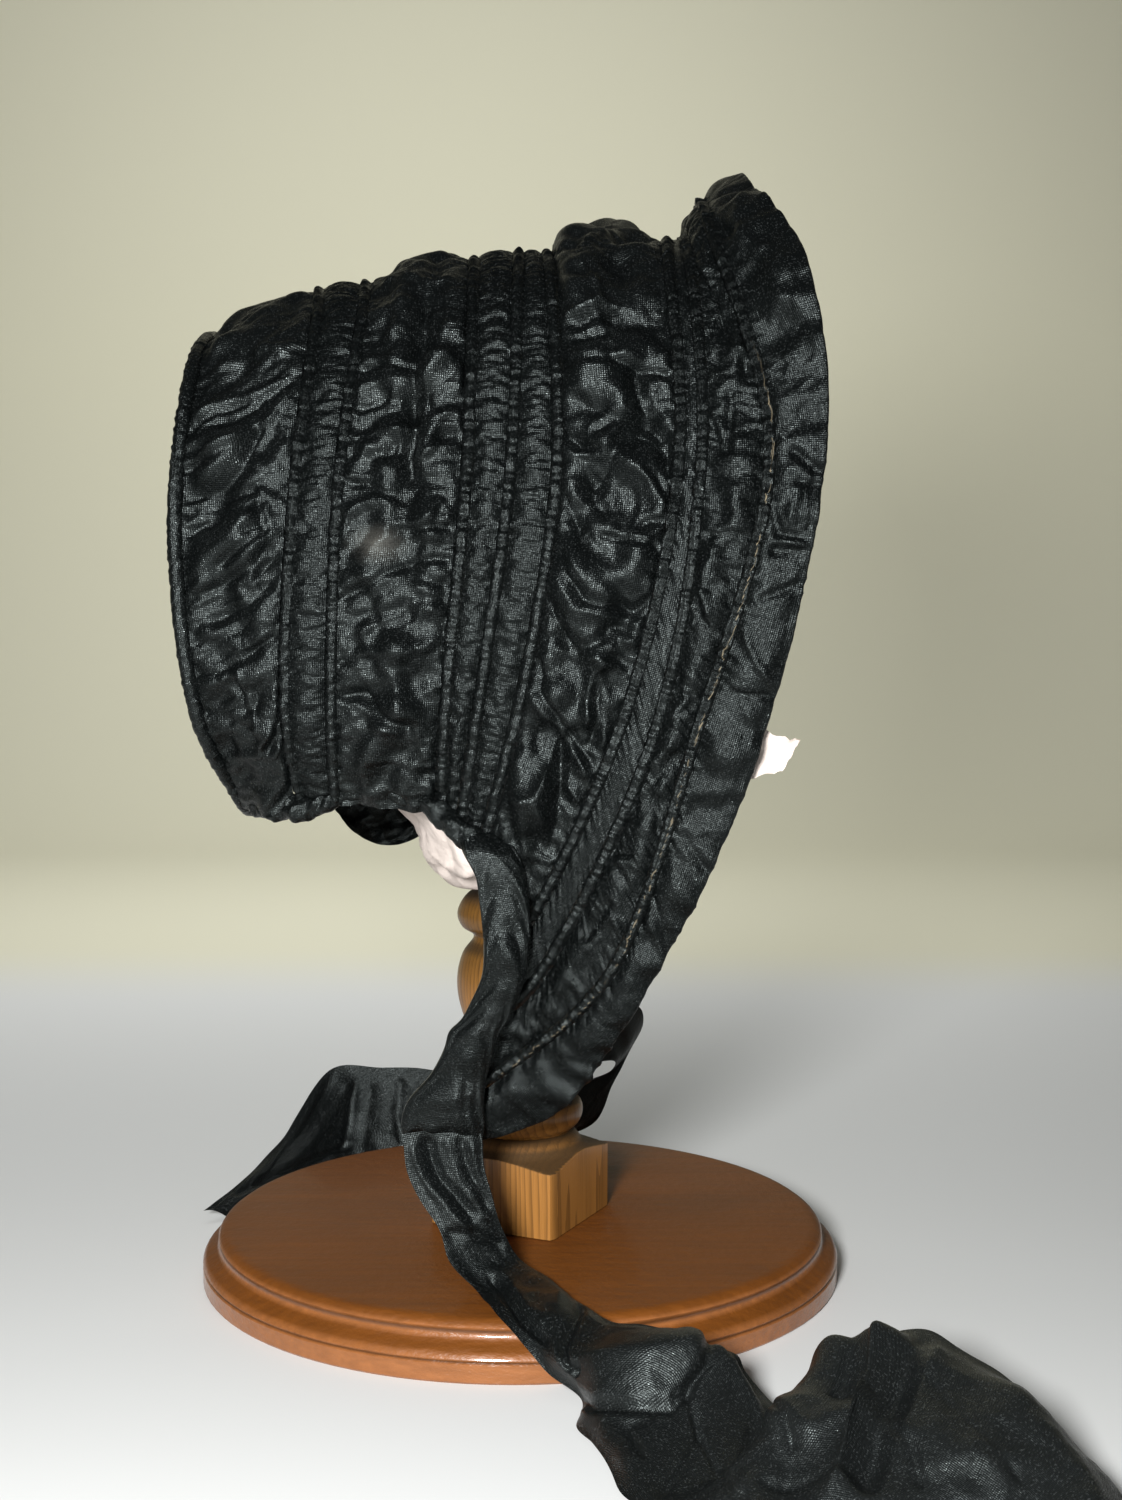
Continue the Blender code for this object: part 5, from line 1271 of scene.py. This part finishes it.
class BONNET_OT_cover(Maker):
    """Gathers the silk over the hoops: puffs, bands and stitched casings"""

    bl_idname = "bonnet.cover"
    bl_label = "Gathered silk"

    def execute(self, context):
        settings = context.scene.bonnet_silk
        silk = silk_material("black_taffeta", settings)
        dusty = silk_material("rubbed_taffeta", settings, "dust")
        worn_silk = silk_material("worn_taffeta", settings, "worn")
        gathered = silk_material("gathered_taffeta", settings, "band")
        for index, panel in enumerate(PANELS):
            name, full_u, full_v = panel[0], panel[7], panel[8]
            grid, along, across = gathered_panel(panel, index)
            if name == "brim_edge_band":
                grid, along, across = turned_under(grid, along, across)
            width = float(across[-1].mean())
            material = dusty if name == "crown_middle_puff" else gathered if "band" in name else silk
            item = hold_grid("silk_" + name, grid, (along * full_u, across * full_v), material,
                             "black_silk", name)
            declare_sheet(width * full_v,
                          float((along[:, -1] - along[:, 0]).mean()) * full_u)
        for index, hoop in enumerate(list(HOOPS)[1:-1], start=1):
            grid, line, along = casing_grid(index)
            item = hold_grid("silk_casing_" + hoop, grid, cloth_measure(grid),
                             worn_silk if hoop == "ridge" else silk, "black_silk", "casing_" + hoop)
            if hoop == "ridge":
                worn = (1.0 - ramp(line[:, 2], 0.262, 0.285)) * (0.55 + 0.45 * ramp(line[:, 2], 0.14, 0.20))
                worn = worn * ramp(pleats(88, along, 0.009), -1.3, 0.1)
                store(item.data, "worn", worn[None], grid.shape[:2])
            declare_sheet(float(running(grid, 0)[-1].mean()),
                          float(running(grid, 1)[:, -1].mean()))
        return {"FINISHED"}


def tip_ring(count):
    low_x, low_half, low_z = HOOPS["tip"][-1]
    nape = [(low_x, side * low_half * NAPE_WIDTH, low_z - NAPE_DROP) for side in (1.0, -1.0)]
    arch = hoop_line("tip", 42)
    return smooth_line(list(arch) + nape, count, closed=True)


def tube_grid(line, radii, sides, closed=False, seed=0, crinkle=0.0, size=0.0015):
    """Rows of points round a line, with small wrinkles across it."""
    if closed:
        tangents = unit(np.roll(line, -1, 0) - np.roll(line, 1, 0))
    else:
        tangents = unit(np.gradient(line, axis=0))
    side = unit(np.cross(tangents, np.array([0.31, 0.23, 0.92])))
    other = np.cross(tangents, side)
    angle = np.linspace(0.0, math.tau, sides + 1)
    run = np.concatenate([[0.0], np.cumsum(np.linalg.norm(np.diff(line, axis=0), axis=1))])
    wrinkle = 1.0 + crinkle * noise(seed, (run / size)[:, None], 1.6 * np.sin(angle)[None] + 5.0)
    reach = np.asarray(radii)[:, None] * wrinkle
    reach[:, -1] = reach[:, 0]
    return (line[:, None] + side[:, None] * (np.cos(angle) * reach)[..., None]
            + other[:, None] * (np.sin(angle) * reach)[..., None])


def closed_data(name, grid, caps=True):
    """Mesh of a tube grid, joined along its seam and closed at its ends."""
    data = grid_data(name, grid, cloth_measure(grid))
    mesh = bmesh.new()
    mesh.from_mesh(data)
    bmesh.ops.remove_doubles(mesh, verts=mesh.verts, dist=1e-6)
    if caps:
        bmesh.ops.holes_fill(mesh, edges=[e for e in mesh.edges if e.is_boundary], sides=0)
    bmesh.ops.recalc_face_normals(mesh, faces=mesh.faces)
    mesh.to_mesh(data)
    mesh.free()
    data.shade_smooth()
    return data


def hold_tube(name, grid, material, slot, node, caps=True):
    return hold(name, closed_data(name, grid, caps), material, slot, node)


class BONNET_OT_tip(Maker):
    """Folds the oval back panel and its piping"""

    bl_idname = "bonnet.tip"
    bl_label = "Back panel and piping"

    def execute(self, context):
        silk = bpy.data.materials["black_taffeta"]
        ring = tip_ring(TIP_COLUMNS)
        centre = ring.mean(axis=0)
        spokes = ring - centre
        grid = []
        for k in range(TIP_RINGS + 1):
            share = 1.0 - k / TIP_RINGS * 0.985
            row = centre + spokes * share * (1.0 - 0.0012 / np.linalg.norm(spokes, axis=1)[:, None])
            grid.append(row)
        grid = np.stack(grid)
        angle = np.linspace(0.0, math.tau, TIP_COLUMNS, endpoint=False)
        share = np.linspace(0.0, 1.0, TIP_RINGS + 1)[:, None]
        folds = noise(901, 30 * np.cos(angle)[None] + 40, 30 * np.sin(angle)[None] + 3 * share + 40)
        broad = noise(902, 9 * np.cos(angle)[None] + 4 * share + 40, 9 * np.sin(angle)[None] + 40)
        lift = 0.6 * MM * folds * ramp(share, 0.0, 0.05) * (1 - 0.6 * share)
        lift = lift + 1.0 * MM * broad * ramp(share, 0.0, 0.2) * (1 - share)
        lift = lift - 1.5 * MM * ramp(share, 0.0, 1.0)
        grid[..., 0] -= lift
        grid = np.concatenate([grid, grid[:, :1]], axis=1)
        item = hold_tube("silk_tip", grid, silk, "black_silk", "crown_tip")
        grid = tube_grid(tip_ring(900), np.full(900, PIPING_RADIUS), 16, True, 910, 0.07, 0.0011)
        grid = np.concatenate([grid, grid[:1]], axis=0)
        hold_tube("silk_piping", grid, silk, "black_silk", "tip_piping", False)
        return {"FINISHED"}


class BONNET_OT_hems(Maker):
    """Rolls the lower edges of the crown"""

    bl_idname = "bonnet.hems"
    bl_label = "Rolled hems"

    def execute(self, context):
        silk = bpy.data.materials["black_taffeta"]
        for side, label in ((-1.0, "near"), (1.0, "far")):
            line = smooth_line([(x, side * y, z, r) for x, y, z, r in HEM_LINE], 300)
            grid = tube_grid(line[:, :3], line[:, 3], 36, False, 930 + int(side), 0.10, 0.0034)
            middle = line[:, None, :3]
            dents = crushed(940 + int(side), running(grid, 0), running(grid, 1), (0.009, 0.004))
            grid = middle + (grid - middle) * (1.0 + 0.9 * dents)[..., None]
            grid[:, -1] = grid[:, 0]
            hold_tube("silk_hem_" + label, grid, silk, "black_silk", "hem_" + label)
        top = smooth_line([(x, FAR_LOBE_SIDEWAYS, a) for x, a, _ in FAR_LOBE], 90)
        low = smooth_line([(x, FAR_LOBE_SIDEWAYS - 0.001, b) for x, _, b in FAR_LOBE], 90)
        shares = np.linspace(0.0, 1.0, 40)[:, None, None]
        grid = top + (low - top) * shares
        grid[..., 1] += 0.003 * np.sin(np.pi * shares[..., 0])
        grid[..., 1] += 7.0 * MM * crushed(945, grid[..., 0], grid[..., 2], (0.014, 0.006))
        item = hold_grid("silk_lobe", grid, cloth_measure(grid), silk, "black_silk", "hem_lobe_far")
        return {"FINISHED"}


class BONNET_OT_ribbons(Maker):
    """Folds the ribbons down the rear edge of each ear"""

    bl_idname = "bonnet.ribbons"
    bl_label = "Ear ribbons"

    def execute(self, context):
        silk = bpy.data.materials["black_taffeta"]
        for side, label, tuck in ((-1.0, "near", 0.0), (1.0, "far", FAR_RIBBON_TUCK)):
            table = [(rear + tuck * k / (len(EAR_RIBBON) - 1), front, across, height, thick)
                     for k, (rear, front, across, height, thick) in enumerate(EAR_RIBBON)]
            rows = smooth_line(table, 160)
            angle = np.linspace(0.0, math.tau, 101)
            centre, half = 0.5 * (rows[:, 0] + rows[:, 1]), 0.5 * (rows[:, 1] - rows[:, 0])
            height = rows[:, 3][:, None]
            round_x = np.cos(angle)[None]
            round_y = np.sin(angle)[None]
            flat_y = np.sign(round_y) * np.abs(round_y) ** 0.6
            seed = 950 + int(side)
            long = noise(seed, 1.2 * round_x + 20, 1.2 * round_y + height / 0.045)
            facets = crushed(seed + 3, half[:, None] * round_x * 1.5, height + 0.02 * round_y,
                             (0.030, 0.012))
            x = centre[:, None] + half[:, None] * round_x * (1.0 + 0.05 * long)
            lift = rows[:, 4][:, None] * flat_y * (1.0 + 0.35 * long)
            y = side * rows[:, 2][:, None] + lift + 6.0 * MM * facets * np.abs(flat_y)
            grid = np.stack([x, y, np.broadcast_to(height, x.shape)], axis=2)
            grid[:, -1] = grid[:, 0]
            hold_tube("silk_ribbon_" + label, grid, silk, "black_silk", "ear_ribbon_" + label)
        return {"FINISHED"}


def tie_grid(table, rows, columns):
    first = smooth_line([np.append(a, c) for a, b, c in table], rows)
    second = smooth_line([np.append(b, c) for a, b, c in table], rows)
    shares = np.linspace(0.0, 1.0, columns)[None, :, None]
    grid = first[:, None, :3] + (second[:, None, :3] - first[:, None, :3]) * shares
    grid[..., 2] += first[:, 3][:, None] * np.sin(np.pi * shares[..., 0])
    return grid


class BONNET_OT_ties(Maker):
    """Lays the two silk ties"""

    bl_idname = "bonnet.ties"
    bl_label = "Ties"

    def execute(self, context):
        silk = silk_material("tie_taffeta", context.scene.bonnet_silk, "tie")
        for name, table, folds, rows, columns, seed in TIES:
            base = tie_grid(table, rows, columns)
            normals = grid_normals(base)
            up = normals[..., 2:3] if name == "near_tie" else -normals[..., 1:2]
            normals *= np.sign(up.mean())
            along = running(base, 0)
            across = running(base, 1)
            height = 4.5 * MM * crushed(seed, along * 0.8, across, (0.034, 0.014))
            height = height + 0.5 * MM * crushed(seed + 4, along, across, (0.0070, 0.0036))
            slope = SLOPE[0] * base[..., 2] + SLOPE[1] * base[..., 1]
            height = height + pressed(np.stack([base[..., 0], slope], axis=2), folds)
            edge = ramp(np.minimum(across, across[:, -1:] - across) / across[:, -1:], 0.0, 0.17)
            ends = ramp(np.minimum(along, along[-1:] - along), 0.0, 0.004)
            points = base + normals * (height * (0.06 + 0.94 * edge) * ends)[..., None]
            points[..., 0] += 0.5 * MM * pleats(seed + 2, along, 0.010) * ends
            for _ in range(2):
                points[1:-1, 1:-1] += 0.12 * (points[2:, 1:-1] + points[:-2, 1:-1] + points[1:-1, 2:]
                                              + points[1:-1, :-2] - 4.0 * points[1:-1, 1:-1])
            radius = np.hypot(points[..., 0], points[..., 1])
            points[..., 2] = np.maximum(points[..., 2], np.interp(radius, *zip(*UNDER_TIES)))
            item = hold_grid("silk_" + name, points, (across, along), silk, "black_silk", name)
        return {"FINISHED"}


def crumple(points, seed, sizes, depth):
    """Sharp-edged random facets, as in crushed paper: many triangle waves laid over each other."""
    random = np.random.default_rng(seed)
    height = 0.0
    for size in sizes:
        for _ in range(4):
            way = random.standard_normal(3)
            way /= np.linalg.norm(way)
            bent = points @ way / size + 0.35 * np.sin(points @ random.standard_normal(3) / size * 1.3)
            height = height + size * zigzag(bent + random.random())
    return depth * (height / sum(sizes) / 4 - 0.5)


class BONNET_OT_paper(Maker):
    """Crumples the tissue paper pad and its loose end"""

    bl_idname = "bonnet.paper"
    bl_label = "Tissue paper"

    def execute(self, context):
        paper = paper_material(context.scene.bonnet_paper)
        sections = smooth_line(PAD_SECTIONS, PAD_ROWS)
        angle = np.linspace(0.0, math.tau, 241)
        x = sections[:, 1][:, None] + sections[:, 2][:, None] * np.cos(angle)
        y = sections[:, 3][:, None] * np.sin(angle)
        z = np.broadcast_to(sections[:, 0][:, None], x.shape)
        grid = np.stack([x, y, z], axis=2)
        normals = grid_normals(grid)
        outward = np.stack([np.broadcast_to(np.cos(angle), x.shape), np.broadcast_to(np.sin(angle), x.shape),
                            0 * x], axis=2)
        normals *= np.sign(np.einsum("ijk,ijk->ij", normals, outward))[..., None]
        dent = crumple(grid, 980, (0.028, 0.014, 0.007), 0.011) - 0.0025
        row = np.arange(PAD_ROWS)
        fade = ramp(np.minimum(row, PAD_ROWS - 1 - row), 0, 10)[:, None]
        grid = grid + normals * (dent * fade)[..., None]
        grid[:, -1] = grid[:, 0]
        item = hold_tube("tissue_pad", grid, paper, "tissue_paper", "paper_pad")
        upper = smooth_line([(x, y, top) for x, y, top, _ in PAPER_STRIP], 120)
        lower = smooth_line([(x, y, low) for x, y, _, low in PAPER_STRIP], 120)
        shares = np.linspace(0.0, 1.0, 40)[:, None, None]
        upper[:, 2] += 0.35 * MM * pleats(983, upper[:, 0], 0.0012)
        lower[:, 2] += 0.35 * MM * pleats(984, upper[:, 0], 0.0010)
        grid = upper + (lower - upper) * shares
        grid[..., 1] += 0.0012 * np.sin(np.pi * shares[..., 0]) + crumple(grid, 981, (0.008, 0.004), 0.0040)
        item = hold_grid("tissue_end", grid, cloth_measure(grid), paper, "tissue_paper", "paper_strip")
        return {"FINISHED"}


class BONNET_PT_panel(bpy.types.Panel):
    """Lists the makers in the sidebar"""

    bl_idname = "BONNET_PT_panel"
    bl_label = "Bonnet"
    bl_space_type = "VIEW_3D"
    bl_region_type = "UI"
    bl_category = "Bonnet"

    def draw(self, context):
        for maker in MAKERS:
            self.layout.operator(maker.bl_idname)


GROUPS = {"bonnet_silk": SilkSettings, "bonnet_stand": StandSettings, "bonnet_paper": PaperSettings,
          "bonnet_stage": StageSettings}
MAKERS = (BONNET_OT_stage, BONNET_OT_stand, BONNET_OT_cover, BONNET_OT_tip, BONNET_OT_hems,
          BONNET_OT_ribbons, BONNET_OT_ties, BONNET_OT_paper)
CLASSES = (*GROUPS.values(), *MAKERS, BONNET_PT_panel)


def register():
    for kind in CLASSES:
        bpy.utils.register_class(kind)
    for name, kind in GROUPS.items():
        setattr(bpy.types.Scene, name, PointerProperty(type=kind))


def unregister():
    for name in GROUPS:
        delattr(bpy.types.Scene, name)
    for kind in reversed(CLASSES):
        bpy.utils.unregister_class(kind)


def main():
    register()
    for maker in MAKERS:
        group, action = maker.bl_idname.split(".")
        getattr(getattr(bpy.ops, group), action)()


if __name__ == "__main__":
    main()
